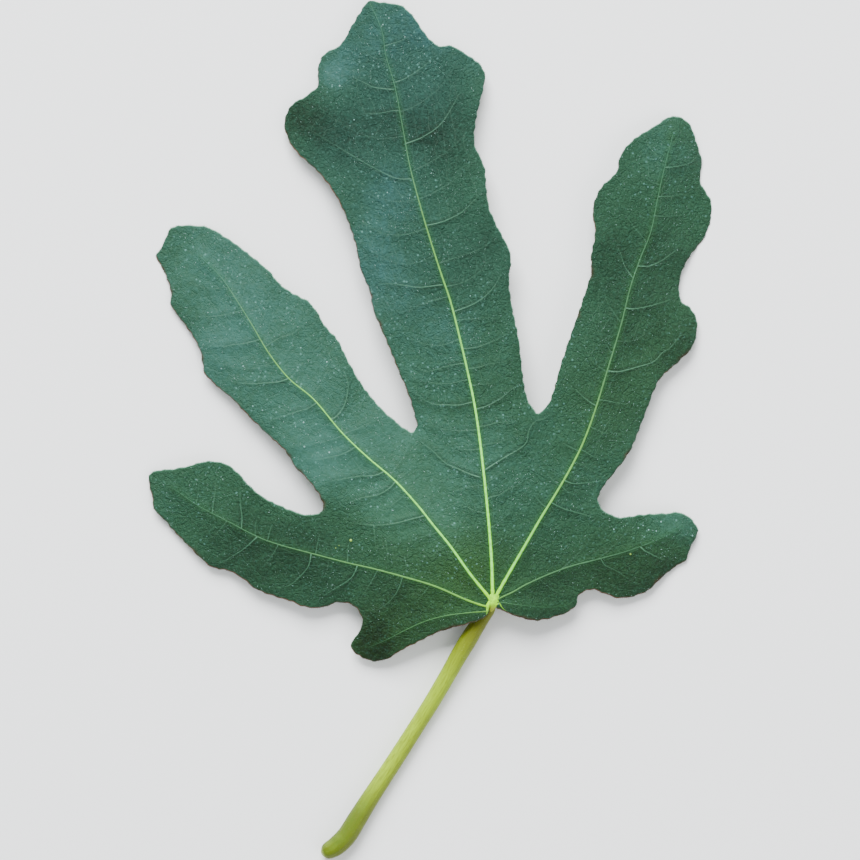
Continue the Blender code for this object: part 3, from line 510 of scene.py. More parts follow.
        (0.6, [(-28.4, -30.9), (-28.1, -29.0), (-27.7, -27.2), (-27.4, -25.8)]),
        (0.5, [(-40.4, -27.6), (-39.7, -24.7), (-39.0, -23.3), (-38.3, -22.2)]),
        (0.3, [(-43.5, -26.2), (-43.4, -23.6), (-43.0, -21.9), (-41.9, -20.4)]),
        (0.9, [(-46.9, -24.6), (-46.8, -21.5), (-47.1, -19.3), (-47.3, -15.75)]),
        (0.6, [(-54.2, -20.8), (-54.0, -18.6), (-53.5, -15.0), (-53.5, -13.25)]),
        (0.4, [(-58.3, -18.5), (-57.8, -15.75), (-57.6, -13.25)]),
    ],
    "left_web": [
        (0.4, [(-14.0, -23.6), (-13.7, -27.0), (-13.25, -30.5)]),
        (0.4, [(-11.0, -27.25), (-10.6, -30.5), (-10.25, -34.0)]),
        (0.4, [(-6.25, -31.5), (-6.0, -33.3), (-5.75, -35.25)]),
    ],
    "right_basal_lower": [
        (0.3, [(27.0, -36.9), (31.0, -40.0), (35.0, -41.5)]),
        (0.6, [(42.5, -32.1), (43.6, -33.7), (46.3, -35.0), (49.2, -36.9), (52.1, -38.5)]),
        (1.0, [(52.4, -29.1), (53.5, -30.1), (54.5, -30.6), (57.5, -32.1), (58.7, -32.5)]),
    ],
    "right_basal_upper": [
        (0.25, [(32.5, -34.6), (37.0, -30.5), (41.0, -25.5)]),
        (0.25, [(41.5, -32.3), (46.0, -28.5), (50.0, -24.0)]),
        (0.4, [(62.8, -26.2), (64.1, -26.8), (65.2, -27.6)]),
    ],
}

# Heights of the blade's underside over the floor at a few places
REST_HEIGHTS = [
    (*KNOB, 7.5),
    (11.0, -48.0, 7.1),
    (-7.0, -48.0, 5.6),
    (-19.75, -54.25, 2.9),
    (22.0, -46.0, 6.6),
    (36.0, -44.25, 4.0),
    (0.0, -5.0, 8.3),
    (20.0, -10.0, 8.7),
    (3.0, 30.0, 7.8),
    (-6.0, 68.0, 6.2),
    (-34.0, 77.0, 3.0),
    (12.0, 90.0, 3.6),
    (-15.25, 107.2, 2.8),
    (-18.0, -18.0, 7.4),
    (-30.0, 5.0, 6.6),
    (-47.0, 31.0, 4.0),
    (-68.0, 46.0, -0.35),
    (-30.0, -31.0, 6.0),
    (-52.0, -22.0, 3.9),
    (-70.0, -14.0, 2.0),
    (36.0, -5.0, 7.4),
    (48.0, 27.0, 5.6),
    (61.0, 77.0, 3.2),
    (57.0, 58.0, 3.9),
    (70.2, 54.0, -1.0),
    (66.0, 26.0, 2.3),
    (42.0, -32.0, 5.2),
    (66.0, -25.0, 1.6),
]

# The stalk from inside the hub to its cut end: x, y, height of its underside and radius
STALK_ROUTE = [
    (15.9, -41.3, 7.75, 0.55),
    (15.65, -42.3, 6.85, 0.9),
    (15.35, -43.5, 5.8, 1.1),
    (14.75, -44.9, 4.5, 1.35),
    (13.4, -46.6, 2.95, 1.65),
    (11.45, -49.3, 1.7, 2.0),
    (9.35, -52.7, 1.2, 2.16),
    (7.0, -56.6, 0.95, 2.11),
    (4.95, -60.25, 0.8, 2.03),
    (0.8, -67.4, 0.45, 2.0),
    (-3.15, -73.7, 0.2, 1.98),
    (-7.2, -80.1, 0.05, 2.04),
    (-11.3, -86.4, 0.0, 2.1),
    (-15.35, -92.6, 0.0, 2.24),
    (-18.4, -97.5, 0.0, 2.42),
    (-20.75, -101.25, 0.0, 2.48),
    (-23.25, -103.75, 0.0, 2.42),
    (-25.3, -105.0, 0.0, 2.15),
    (-27.0, -105.75, 0.0, 1.75),
]

# The hub, the lump where the ribs run together over the stalk's head: its middle line as x, y
# and height, how far it reaches to each side and how high it stands
HUB_LINE = [
    (16.1, -40.1, 8.45), (15.85, -41.6, 8.4), (15.6, -43.0, 8.05), (15.35, -44.1, 7.5),
    (15.0, -45.2, 6.75),
]
HUB_HALF = 1.42
HUB_RISE = 0.75

# The pale rims of the blade beside the notch: half width and route, away from the hub
HUB_RIMS = [
    (0.52, [(15.0, -42.5), (14.35, -43.5), (14.2, -44.5), (14.1, -45.3), (13.9, -45.8)]),
    (0.2, [(16.6, -42.3), (17.3, -43.1), (17.8, -43.9), (18.5, -44.6), (19.2, -45.0)]),
]

# Broad painted sheen (paling, over zero) and painted shade (darkening) of the upper face: x, y,
# reach, strength, and how much it is turned towards a warmer green, or under zero towards a
# bluer one, the blue a painted reflection of the sky
SHEEN_AND_SHADE_PATCHES = [
    (-32.0, 18.0, 20.0, 0.17, 0.0),
    (-54.0, 42.0, 18.0, 0.18, -0.15),
    (-54.0, 16.0, 13.0, 0.13, -0.2),
    (-28.0, -8.0, 13.0, 0.26, -0.1),
    (-9.0, 2.0, 10.0, 0.16, 0.0),
    (-10.0, -22.0, 12.0, 0.12, 0.1),
    (-8.0, 55.0, 38.0, 0.0, -0.35),
    (-9.0, 39.0, 13.0, 0.11, -0.35),
    (14.0, 42.0, 14.0, -0.14, -0.25),
    (-6.0, 94.0, 18.0, 0.1, -0.95),
    (-24.5, 88.5, 5.5, 0.2, -0.1),
    (-8.0, 61.0, 10.0, 0.14, -0.4),
    (0.0, 77.0, 13.0, -0.34, -0.25),
    (-24.0, 72.0, 11.0, -0.16, -0.5),
    (-33.0, 77.5, 7.0, -0.3, 0.3),
    (-2.0, -17.0, 15.0, 0.13, 0.1),
    (11.0, -35.0, 10.0, 0.0, 0.7),
    (5.0, -27.0, 7.0, 0.06, 0.0),
    (12.0, -3.0, 12.0, 0.12, 0.0),
    (6.0, 26.0, 8.0, 0.1, -0.1),
    (50.0, 44.0, 15.0, -0.16, 0.05),
    (44.0, 8.0, 12.0, -0.1, 0.2),
    (60.0, 20.0, 13.0, -0.16, 0.2),
    (56.0, 68.0, 12.0, 0.05, -0.1),
    (-40.0, -32.0, 16.0, -0.2, 0.1),
    (-25.0, -27.5, 9.0, -0.18, 0.0),
    (-2.0, -46.0, 13.0, -0.2, 0.5),
    (-15.0, -54.0, 8.0, -0.36, 0.9),
    (46.0, -37.0, 11.0, -0.26, 0.35),
    (60.0, -33.0, 8.0, -0.3, 0.3),
    (60.0, -24.5, 8.0, 0.26, -0.1),
    (28.0, -41.0, 10.0, -0.2, 0.2),
]

# Brown scars on the margin: x, y and reach
SCARS = [
    (-64.4, 34.9, 0.8), (-56.5, 17.9, 1.1), (-66.5, 40.3, 0.8), (-35.1, -6.2, 1.1),
    (-32.2, -10.2, 1.0), (-27.0, -18.3, 1.6), (-57.6, -30.1, 1.4), (-14.75, 33.4, 0.8),
    (-12.5, 26.0, 1.6), (39.7, 39.3, 1.3), (36.9, 28.7, 0.8), (63.7, 17.9, 1.8),
    (48.9, -6.0, 1.1), (57.0, -37.5, 1.5), (5.0, -49.4, 2.0), (24.0, -46.8, 2.5),
]

# Pale droplets and flecks on the upper face: x, y and radius
FLECKS = [
    (-11.75, 101.0, 0.19), (-11.0, 103.5, 0.15), (-10.25, 102.7, 0.19), (-8.25, 104.6, 0.12),
    (-7.0, 103.5, 0.12), (-17.9, 89.75, 0.19), (-22.5, 85.75, 0.26), (-18.9, 77.25, 0.17),
    (-1.6, 95.75, 0.17), (-1.4, 93.75, 0.15), (-10.6, 59.0, 0.14), (10.0, 33.25, 0.15),
    (65.5, -26.4, 0.25), (-31.2, -4.2, 0.31), (-25.0, -5.6, 0.26), (-19.4, -12.3, 0.22),
    (-44.1, 5.9, 0.25), (-41.7, 4.9, 0.19), (-39.0, 0.7, 0.17), (-31.4, 1.9, 0.22),
    (-33.4, 0.8, 0.17), (-52.0, 15.3, 0.19), (-46.5, 15.9, 0.19), (-25.6, 16.9, 0.22),
    (-32.1, 20.4, 0.22), (57.6, -22.9, 0.22), (54.5, -24.9, 0.22), (56.4, -25.2, 0.19),
    (51.9, -24.4, 0.19), (53.1, -23.8, 0.17), (45.7, -24.7, 0.19),
]

# Small yellow-green galls on the upper face: x, y and radius
GALLS = [(-19.65, -27.4, 0.36), (-23.4, -29.3, 0.12), (-22.6, -28.7, 0.12), (49.9, -30.9, 0.26)]


def unit(vectors):
    """The vectors, one to a row, each at length 1."""
    return vectors / np.linalg.norm(vectors, axis=1)[:, None]


def circle(sides):
    """Even turns round a circle, in radians from 0."""
    return np.linspace(0.0, 2 * math.pi, sides, endpoint=False)


def bell(distance, reach):
    """1 at no distance, dying away as exp(-(distance / reach) squared)."""
    return np.exp(-((distance / reach) ** 2))


def apart(points, x, y):
    """Distance of each point from the place x, y, seen from above."""
    return np.hypot(points[:, 0] - x, points[:, 1] - y)


def smooth_route(points, step, closed=False):
    """Even samples, about `step` apart, of the curve that passes through the points.

    Each span between two points is a Catmull-Rom cubic, whose ends lean along the line that
    joins the neighbours on both sides. Columns past the first two follow along.
    """
    points = np.array(points, dtype=float)
    if closed:
        ring = np.vstack([points[-1], points, points[0], points[1]])
    else:
        ring = np.vstack([2 * points[0] - points[1], points, 2 * points[-1] - points[-2]])
    t = np.linspace(0.0, 1.0, SPAN_SAMPLES, endpoint=False)[None, :, None]
    before, start, end, after = (ring[i:len(ring) - 3 + i, None, :] for i in range(4))
    spans = (
        (2 * t**3 - 3 * t**2 + 1) * start
        + (t**3 - 2 * t**2 + t) * (end - before) / 2
        + (3 * t**2 - 2 * t**3) * end
        + (t**3 - t**2) * (after - start) / 2
    )
    dense = np.vstack([spans.reshape(-1, points.shape[1]), ring[-2][None, :]])
    steps = np.linalg.norm(np.diff(dense[:, :2], axis=0), axis=1)
    run = np.concatenate([[0.0], np.cumsum(steps)])
    places = np.linspace(0.0, run[-1], max(2, round(run[-1] / step) + 1))
    even = np.column_stack([np.interp(places, run, column) for column in dense.T])
    return even[:-1] if closed else even


def nearest_on_routes(points, routes, reach):
    """Distance from each point in the plane to the nearest route, at most `reach`, and that
    route's own third value at the nearest place.

    The points are sorted from low to high y once, so that each straight span of a route only
    looks at the band of points that it can reach.
    """
    order = np.argsort(points[:, 1])
    x, y = points[order].T
    nearest = np.full(len(points), float(reach))
    value = np.zeros(len(points))
    for route in routes:
        for start, end in zip(route[:-1], route[1:]):
            low = np.searchsorted(y, min(start[1], end[1]) - reach)
            high = np.searchsorted(y, max(start[1], end[1]) + reach)
            band = slice(low, high)
            along = end - start
            from_x, from_y = x[band] - start[0], y[band] - start[1]
            share = from_x * along[0] + from_y * along[1]
            share = np.clip(share / (along[0] ** 2 + along[1] ** 2), 0.0, 1.0)
            gap = np.hypot(from_x - share * along[0], from_y - share * along[1])
            closer = gap < nearest[band]
            nearest[band] = np.where(closer, gap, nearest[band])
            value[band] = np.where(closer, start[2] + share * along[2], value[band])
    back = np.argsort(order)
    return nearest[back], value[back]


def with_value(route, first, last):
    """The route with a third column that runs evenly from first to last."""
    return np.column_stack([route, np.linspace(first, last, len(route))])


def sheet_bend(points, places):
    """Thin-plate bending terms between points and places, r squared times the logarithm of r."""
    distance = np.linalg.norm(points[:, None] - places[None], axis=2)
    return distance**2 * np.log(np.maximum(distance, 1e-9))


def with_plane(points):
    """The columns 1, x and y of the points, for the plane under the thin plate."""
    return np.column_stack([np.ones(len(points)), points])


def plate_weights():
    """Places and weights of the thin plate that passes through the rest heights."""
    places, heights = np.split(np.array(REST_HEIGHTS), [2], axis=1)
    plane = with_plane(places)
    system = np.block([[sheet_bend(places, places), plane], [plane.T, np.zeros((3, 3))]])
    return places, np.linalg.solve(system, np.append(heights, np.zeros(3)))


def outward_from(line):
    """Unit steps square to a closed clockwise line, away from its inside."""
    ahead = np.roll(line, -1, axis=0) - np.roll(line, 1, axis=0)
    return unit(np.column_stack([-ahead[:, 1], ahead[:, 0]]))


def nicked(line):
    """The margin with its fine unevenness: two waves of different length along it, each
    hastened and slowed by a longer one, that fade out towards the knob."""
    steps = np.linalg.norm(np.roll(line, -1, axis=0) - line, axis=1)
    run = 2 * math.pi * (np.cumsum(steps) - steps[0])
    waves = sum(
        height * np.sin(run / length + sway * np.sin(run / sway_length))
        for height, length, sway, sway_length in NICKS
    )
    fade = 1 - bell(apart(line, *KNOB), NICK_STARTS)
    return line + outward_from(line) * (waves * fade)[:, None]


MARGIN_LINE = nicked(smooth_route(sum(MARGIN.values(), []), LINE_STEP, closed=True))
MARGIN_RING = with_value(np.vstack([MARGIN_LINE, MARGIN_LINE[:1]]), 0.0, 0.0)
RIB_ROUTES = [rib["route"] for rib in RIBS.values()]
VEIN_SHOWS, VEIN_ROUTES = zip(*sum(SIDE_VEINS.values(), []))
RIB_LINES = [
    with_value(smooth_route(rib["route"], ROUGH_STEP), rib["pale"][0], RIB_END_PALE)
    for rib in RIBS.values()
]
VEIN_LINES = [
    with_value(smooth_route(route, ROUGH_STEP), show, VEIN_END_SHARE * show)
    for show, route in zip(VEIN_SHOWS, VEIN_ROUTES)
]
PLATE_PLACES, PLATE_WEIGHTS = plate_weights()


class Lay:
    """Distances and heights of the blade at points in the plane.

    The underside's height is the thin plate's, plus a broad fold and a ridge over each rib, a
    ridge over each side vein that is higher where the vein shows more, waves that die away
    from the margin, and a shallow quilting. It never passes below the floor. The sheet is
    pared down at its very edge.
    """

    def __init__(self, points):
        points = np.ascontiguousarray(points[:, :2])
        x, y = points.T
        self.to_rib, self.rib_pale = nearest_on_routes(points, RIB_LINES, RIB_REACH)
        self.to_vein, self.vein_show = nearest_on_routes(points, VEIN_LINES, VEIN_REACH)
        self.to_margin, _ = nearest_on_routes(points, [MARGIN_RING], MARGIN_REACH)
        bend = sheet_bend(points, PLATE_PLACES)
        rest = bend @ PLATE_WEIGHTS[:-3] + with_plane(points) @ PLATE_WEIGHTS[-3:]
        fold = FOLD_HEIGHT * bell(self.to_rib, FOLD_WIDTH)
        rib_ridge = bell(self.to_rib, RIDGE_WIDTH)
        vein_ridge = (0.35 + 0.65 * self.vein_show) * bell(self.to_vein, RIDGE_WIDTH)
        ridge = RIDGE_HEIGHT * np.maximum(rib_ridge, vein_ridge) - RIDGE_SAG
        wave = MARGIN_WAVE * np.exp(-self.to_margin / MARGIN_WAVE_REACH)
        wave *= np.sin(2 * math.pi * x / WAVE_LENGTH_X) * np.cos(2 * math.pi * y / WAVE_LENGTH_Y)
        wave *= 1 - bell(apart(points, *KNOB), WAVE_STARTS)
        turn = 2 * math.pi / QUILT_LENGTH
        quilt = QUILT_HEIGHT * np.sin(turn * (x + QUILT_SWAY * np.sin(0.9 * y)))
        quilt *= np.sin(turn * (y + QUILT_SWAY * np.sin(1.1 * x)))
        self.under = np.maximum(rest + fold + ridge + wave + quilt, 0.0)
        left_on = 1 - PARED * (1 - np.clip(self.to_margin / PARED_WIDTH, 0.0, 1.0))
        self.top = self.under + SHEET * left_on


def laid(plans, sunk):
    """Paths over several routes, as far under the blade's upper face as `sunk` says."""
    tops = Lay(np.vstack(plans)).top
    tops = np.split(tops, np.cumsum([len(plan) for plan in plans])[:-1])
    return [np.column_stack([plan, top - sunk]) for plan, top in zip(plans, tops)]


def placed(name, data, place=(0.0, 0.0, 0.0)):
    """A new object in the scene."""
    new = bpy.data.objects.new(name, data)
    new.location = place
    bpy.context.scene.collection.objects.link(new)
    return new


def piece(name, corners, triangles, material, values=None, slot="blade_green"):
    """Puts a closed smooth mesh into the scene, with its named values at the corners. The
    corners come in millimetres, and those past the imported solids' box are drawn back to it."""
    corners = np.clip(corners, *BOX)
    mesh = bpy.data.meshes.new(name)
    mesh.vertices.add(len(corners))
    mesh.vertices.foreach_set("co", (corners * MM).astype(np.float32).ravel())
    mesh.loops.add(triangles.size)
    mesh.loops.foreach_set("vertex_index", triangles.astype(np.int32).ravel())
    mesh.polygons.add(len(triangles))
    mesh.polygons.foreach_set("loop_start", np.arange(0, triangles.size, 3, dtype=np.int32))
    mesh.update(calc_edges=True)
    mesh.validate()
    for key, numbers in (values or {}).items():
        layer = mesh.attributes.new(key, "FLOAT", "POINT")
        layer.data.foreach_set("value", np.asarray(numbers, dtype=np.float32))
    mesh.polygons.foreach_set("use_smooth", np.full(len(triangles), True))
    mesh.materials.append(material)
    new = placed(name, mesh)
    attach(new, ROOT)
    return new


def stacked_rings(rings, sides):
    """Triangles of a stack of rings of corners and of the fans that close its two ends. The
    middles of the two ends are the last two corners. The triangles face outwards where each
    ring runs anticlockwise as seen from beyond the last one."""
    ring, side = np.meshgrid(np.arange(rings - 1), np.arange(sides), indexing="ij")
    a = (ring * sides + side).ravel()
    b = (ring * sides + (side + 1) % sides).ravel()
    around = np.arange(sides)
    beside = (around + 1) % sides
    last = (rings - 1) * sides
    first_middle, last_middle = (np.full(sides, rings * sides + end) for end in range(2))
    return np.vstack([
        np.column_stack([a, b, b + sides]),
        np.column_stack([a, b + sides, a + sides]),
        np.column_stack([first_middle, beside, around]),
        np.column_stack([last_middle, around + last, beside + last]),
    ])


def square_to(way):
    """Unit steps level and square to each way, and others square to both."""
    side = unit(np.cross(way, [0.0, 0.0, 1.0]))
    return side, np.cross(side, way)


def swept(path, half_width, rise, keel, drop, sides):
    """A bar carried along a path, closed at both ends.

    Over the path each section is half an ellipse, `half_width` to each side and `rise` high.
    Under it the section swells towards `keel` to each side and is `drop` deep:
    across = cos(turn) * (half_width + (keel - half_width) * |sin(turn)|).
    """
    side, up = square_to(unit(np.gradient(path, axis=0)))
    turn = circle(sides)
    half_width, rise, keel, drop = (
        np.broadcast_to(value, len(path))[:, None] for value in (half_width, rise, keel, drop)
    )
    below = np.maximum(-np.sin(turn), 0.0)
    across = np.cos(turn) * (half_width + (keel - half_width) * below)
    lift = np.where(np.sin(turn) > 0, rise, drop) * np.sin(turn)
    rings = path[:, None] + across[..., None] * side[:, None] + lift[..., None] * up[:, None]
    corners = np.vstack([rings.reshape(-1, 3), path[:1], path[-1:]])
    return corners, stacked_rings(len(path), sides)[:, ::-1]


def along_bar(numbers, sides):
    """A number for each station of a swept bar, given to its corners and its two ends."""
    return np.append(np.repeat(numbers, sides), [numbers[0], numbers[-1]])


def around_bar(numbers, stations):
    """A number for each side of a swept bar, given to its corners. Its two ends have 0."""
    return np.append(np.tile(numbers, stations), [0.0, 0.0])


def bar(path, half_width, rise, keel, drop, sides, **stations):
    """A swept bar with its named values, given as one number or as one for each station.
    Unless it's given, `below` is 1 for the corners that lie under the path."""
    corners, triangles = swept(path, half_width, rise, keel, drop, sides)
    values = {"below": around_bar(np.sin(circle(sides)) < -0.2, len(path))}
    for key, numbers in stations.items():
        values[key] = along_bar(np.broadcast_to(numbers, len(path)), sides)
    return corners, triangles, values


def bars_piece(name, bars, material, slot="blade_green"):
    """Several bars as one piece, with the tones of the skin about them."""
    corners, triangles, values = zip(*bars)
    starts = np.cumsum([0] + [len(part) for part in corners[:-1]])
    corners = np.vstack(corners)
    triangles = np.vstack([part + start for part, start in zip(triangles, starts)])
    values = {key: np.concatenate([part[key] for part in values]) for key in values[0]}
    piece(name, corners, triangles, material, values | tones_at(corners), slot)


def tones_at(points):
    """How pale and how warm, or under zero how cool, the skin is at each point: sums of soft
    round patches of painted sheen and painted shade, the cool turn a painted sky reflection."""
    pale = np.zeros(len(points))
    warm = np.zeros(len(points))
    # painted sheen where a patch pales the skin, painted shade where it darkens it
    for x, y, reach, strength, warmth in SHEEN_AND_SHADE_PATCHES:
        patch = bell(apart(points, x, y), reach)
        pale += strength * patch
        warm += warmth * patch
    return {"pale": pale, "warm": np.clip(warm, -1.0, 1.0)}


def scars_at(points, to_margin):
    """How brown the margin is at each point: soft round patches, kept to the very edge."""
    patches = [bell(apart(points, x, y), reach) for x, y, reach in SCARS]
    return np.max(patches, axis=0) * bell(to_margin, SCAR_WIDTH)


def inside_margin(points):
    """Whether each point lies inside the margin, by counting the sides that a ray crosses."""
    order = np.argsort(points[:, 1])
    x, y = points[order].T
    inside = np.zeros(len(points), dtype=bool)
    for (x0, y0), (x1, y1) in zip(MARGIN_LINE, np.roll(MARGIN_LINE, -1, axis=0)):
        if y0 == y1:
            continue
        band = slice(*np.searchsorted(y, sorted((y0, y1))))
        inside[band] ^= x[band] < x0 + (y[band] - y0) * (x1 - x0) / (y1 - y0)
    return inside[np.argsort(order)]


def well_inside(points):
    """Those of the points that lie inside the margin and clear of its pared strip."""
    to_margin = nearest_on_routes(points, [MARGIN_RING], 1.0)[0]
    return points[(to_margin > PARED_WIDTH + PARED_CLEAR) & inside_margin(points)]


def blade_plan():
    """Fine triangles of the blade's outline: points on the margin and just inside it, along
    the ribs and veins and in an even six-way grid between them, joined as evenly as they
    allow."""
    routes = [smooth_route(route, LINE_STEP) for route in (*RIB_ROUTES, *VEIN_ROUTES)]
    inset = MARGIN_LINE - outward_from(MARGIN_LINE) * PARED_WIDTH
    columns = np.arange(FILL_LOW[0], FILL_HIGH[0], FINE_STEP)
    rows = np.arange(FILL_LOW[1], FILL_HIGH[1], FINE_STEP * math.sqrt(3) / 2)
    grid_x, grid_y = np.meshgrid(columns, rows)
    grid_x[1::2] += FINE_STEP / 2
    fill = np.column_stack([grid_x.ravel(), grid_y.ravel()])
    taken = [with_value(route, 0.0, 0.0) for route in routes] + [MARGIN_RING]
    fill = fill[nearest_on_routes(fill, taken, FINE_STEP)[0] > FINE_STEP * FILL_SHARE]
    points = np.vstack([MARGIN_LINE, inset, well_inside(np.vstack(routes)), well_inside(fill)])
    outline = list(range(len(MARGIN_LINE)))
    inside_only = 1
    found = delaunay_2d_cdt([Vector(p) for p in points], [], [outline], inside_only, WELD)
    return np.array([tuple(p) for p in found[0]]), np.array([list(t) for t in found[2]])


class Nodes:
    """Short calls for building a node tree."""

    def __init__(self, tree):
        self.tree = tree

    def set(self, node, index, value):
        """Links a socket, or keeps a plain value, at one input."""
        if isinstance(value, bpy.types.NodeSocket):
            self.tree.links.new(value, node.inputs[index])
        else:
            node.inputs[index].default_value = value

    def add(self, kind, inputs=None, **settings):
        """A node with its settings and inputs."""
        node = self.tree.nodes.new(kind)
        for key, value in settings.items():
            setattr(node, key, value)
        for key, value in (inputs or {}).items():
            self.set(node, key, value)
        return node

    def math(self, operation, *values):
        """The first value, joined with each of the others in turn by one kind of sum."""
        result = values[0]
        for value in values[1:]:
            inputs = {0: result, 1: value}
            result = self.add("ShaderNodeMath", inputs, operation=operation).outputs[0]
        return result

    def plus(self, *values):
        """The sum of all the values."""
        return self.math("ADD", *values)

    def times(self, *values):
        """The product of all the values."""
        return self.math("MULTIPLY", *values)

    def mix(self, factor, first, second, blend="MIX"):
        """The first colour, passing to the second, or with the blend MULTIPLY to its product
        with the second, as the factor grows from 0 to 1."""
        inputs = {0: factor, 6: first, 7: second}
        node = self.add("ShaderNodeMix", inputs, data_type="RGBA", blend_type=blend)
        return node.outputs[2]

    def step(self, value, low, high, first=0.0, last=1.0):
        """The value's place between low and high, eased, as a number from first to last."""
        inputs = {0: value, 1: low, 2: high, 3: first, 4: last}
        return self.add("ShaderNodeMapRange", inputs, interpolation_type="SMOOTHSTEP").outputs[0]

    def attribute(self, name):
        """A value kept at the corners of the mesh."""
        return self.add("ShaderNodeAttribute", attribute_name=name).outputs["Fac"]

    def place(self):
        """Place on the object, in metres."""
        return self.add("ShaderNodeTexCoord").outputs["Object"]

    def noise(self, place, scale, detail=3.0, roughness=0.55):
        """Soft noise with so many cells to the metre."""
        inputs = {"Vector": place, "Scale": scale, "Detail": detail, "Roughness": roughness}
        return self.add("ShaderNodeTexNoise", inputs).outputs["Fac"]

    def cells(self, place, scale, feature):
        """Distance to the middle or to the border of uneven cells, so many to the metre."""
        inputs = {"Vector": place, "Scale": scale}
        return self.add("ShaderNodeTexVoronoi", inputs, feature=feature).outputs["Distance"]

    def paint(self, shader, colour, roughness, specular=0.5):
        """Gives the shader its colour, its roughness and how strongly it reflects."""
        self.set(shader, "Base Color", colour)
        self.set(shader, "Roughness", roughness)
        self.set(shader, "Specular IOR Level", specular)

    def bump(self, shader, height, strength, distance):
        """Feeds the shader a fine relief."""
        inputs = {"Height": height, "Strength": strength, "Distance": distance}
        self.set(shader, "Normal", self.add("ShaderNodeBump", inputs).outputs["Normal"])


def new_material(name):
    """A material, its Principled shader and its node helper."""
    material = bpy.data.materials.new(name)
    material.use_nodes = True
    return material, material.node_tree.nodes["Principled BSDF"], Nodes(material.node_tree)


def leaf_skin_group():
    """The blade's skin: its colour from how pale and how warm it is, and its fine relief.

    Thin lines along the borders of uneven cells, large and small, make the net of the smallest
    veins. Fine noise makes pits, darkened with painted shade, and paler felt between them. Pale
    skin is smoother and more even.
    """
    group = bpy.data.node_groups.new("leaf_skin", "ShaderNodeTree")
    for way, kind, names in (
        ("INPUT", "NodeSocketVector", ["Place"]),
        ("INPUT", "NodeSocketFloat", ["Pale", "Warm"]),
        ("OUTPUT", "NodeSocketColor", ["Colour"]),
        ("OUTPUT", "NodeSocketFloat", ["Net", "Relief", "Gloss"]),
    ):
        for name in names:
            group.interface.new_socket(name, in_out=way, socket_type=kind)
    nodes = Nodes(group)
    enter = nodes.add("NodeGroupInput").outputs
    place, pale, warm = enter["Place"], enter["Pale"], enter["Warm"]
    wobble = nodes.add("ShaderNodeTexNoise", {"Vector": place, "Scale": 420.0, "Detail": 2.0})
    inputs = {0: wobble.outputs["Color"], 1: (0.0009, 0.0009, 0.0009), 2: place}
    bent = nodes.add("ShaderNodeVectorMath", inputs, operation="MULTIPLY_ADD").outputs[0]
    net, fine_net = (
        nodes.step(nodes.cells(bent, scale, "DISTANCE_TO_EDGE"), 0.0, width, 1.0, 0.0)
        for scale, width in ((520.0, 0.11), (1150.0, 0.13))
    )
    broad = nodes.noise(place, 60.0)
    fine = nodes.noise(place, 750.0)
    grain = nodes.noise(place, 1500.0, 2.0, 0.7)
    felt = nodes.noise(place, 2900.0, 2.0, 0.7)
    smooth = nodes.step(pale, 0.0, 0.32, 1.0, 0.18)
    tone = nodes.plus(
        pale, TONE_BASE, nodes.times(nodes.step(broad, 0.3, 0.7, -0.09, 0.09), smooth),
        nodes.step(fine, 0.3, 0.7, -0.05, 0.05),
    )
    skin = nodes.mix(nodes.step(tone, 0.0, 0.5), SKIN_DARK, SKIN_MIDDLE)
    skin = nodes.mix(nodes.step(tone, 0.45, 1.05), skin, SKIN_PALE)
    skin = nodes.mix(warm, skin, WARM_TINT, "MULTIPLY")
    # painted sheen: the skin turned bluer where the patches turn cool, for the reflected sky
    skin = nodes.mix(nodes.times(warm, -1.0), skin, SKY_SHEEN_TINT, "MULTIPLY")
    patchy = nodes.step(tone, 0.1, 0.75, 0.8, 0.35)
    for mask, share, colour in (
        (net, 0.09, NET_LINE),
        (fine_net, 0.06, NET_LINE),
        # painted shade in the low pits of the felt
        (nodes.step(felt, 0.6, 0.38), 0.4, PIT_SHADE),
        (nodes.step(grain, 0.55, 0.75), 0.4, SKIN_PALE),
        (nodes.step(felt, 0.58, 0.75), 0.4, SKIN_PALE),
    ):
        skin = nodes.mix(nodes.times(patchy, share, mask), skin, colour)
    relief = nodes.plus(*(
        nodes.times(height, share)
        for height, share in (
            (felt, 0.35), (grain, 0.75), (fine, 0.45), (net, -0.25), (fine_net, -0.2)
        )
    ))
    leave = nodes.add("NodeGroupOutput")
    nodes.set(leave, "Colour", skin)
    nodes.set(leave, "Net", net)
    nodes.set(leave, "Relief", nodes.times(relief, smooth))
    nodes.set(leave, "Gloss", nodes.step(fine, 0.3, 0.7, 0.5, 0.68))
    return group


def skinned(nodes, group):
    """Outputs of the skin group, fed with the piece's own place and tones."""
    inputs = {
        "Place": nodes.place(), "Pale": nodes.attribute("pale"), "Warm": nodes.attribute("warm"),
    }
    return nodes.add("ShaderNodeGroup", inputs, node_tree=group).outputs


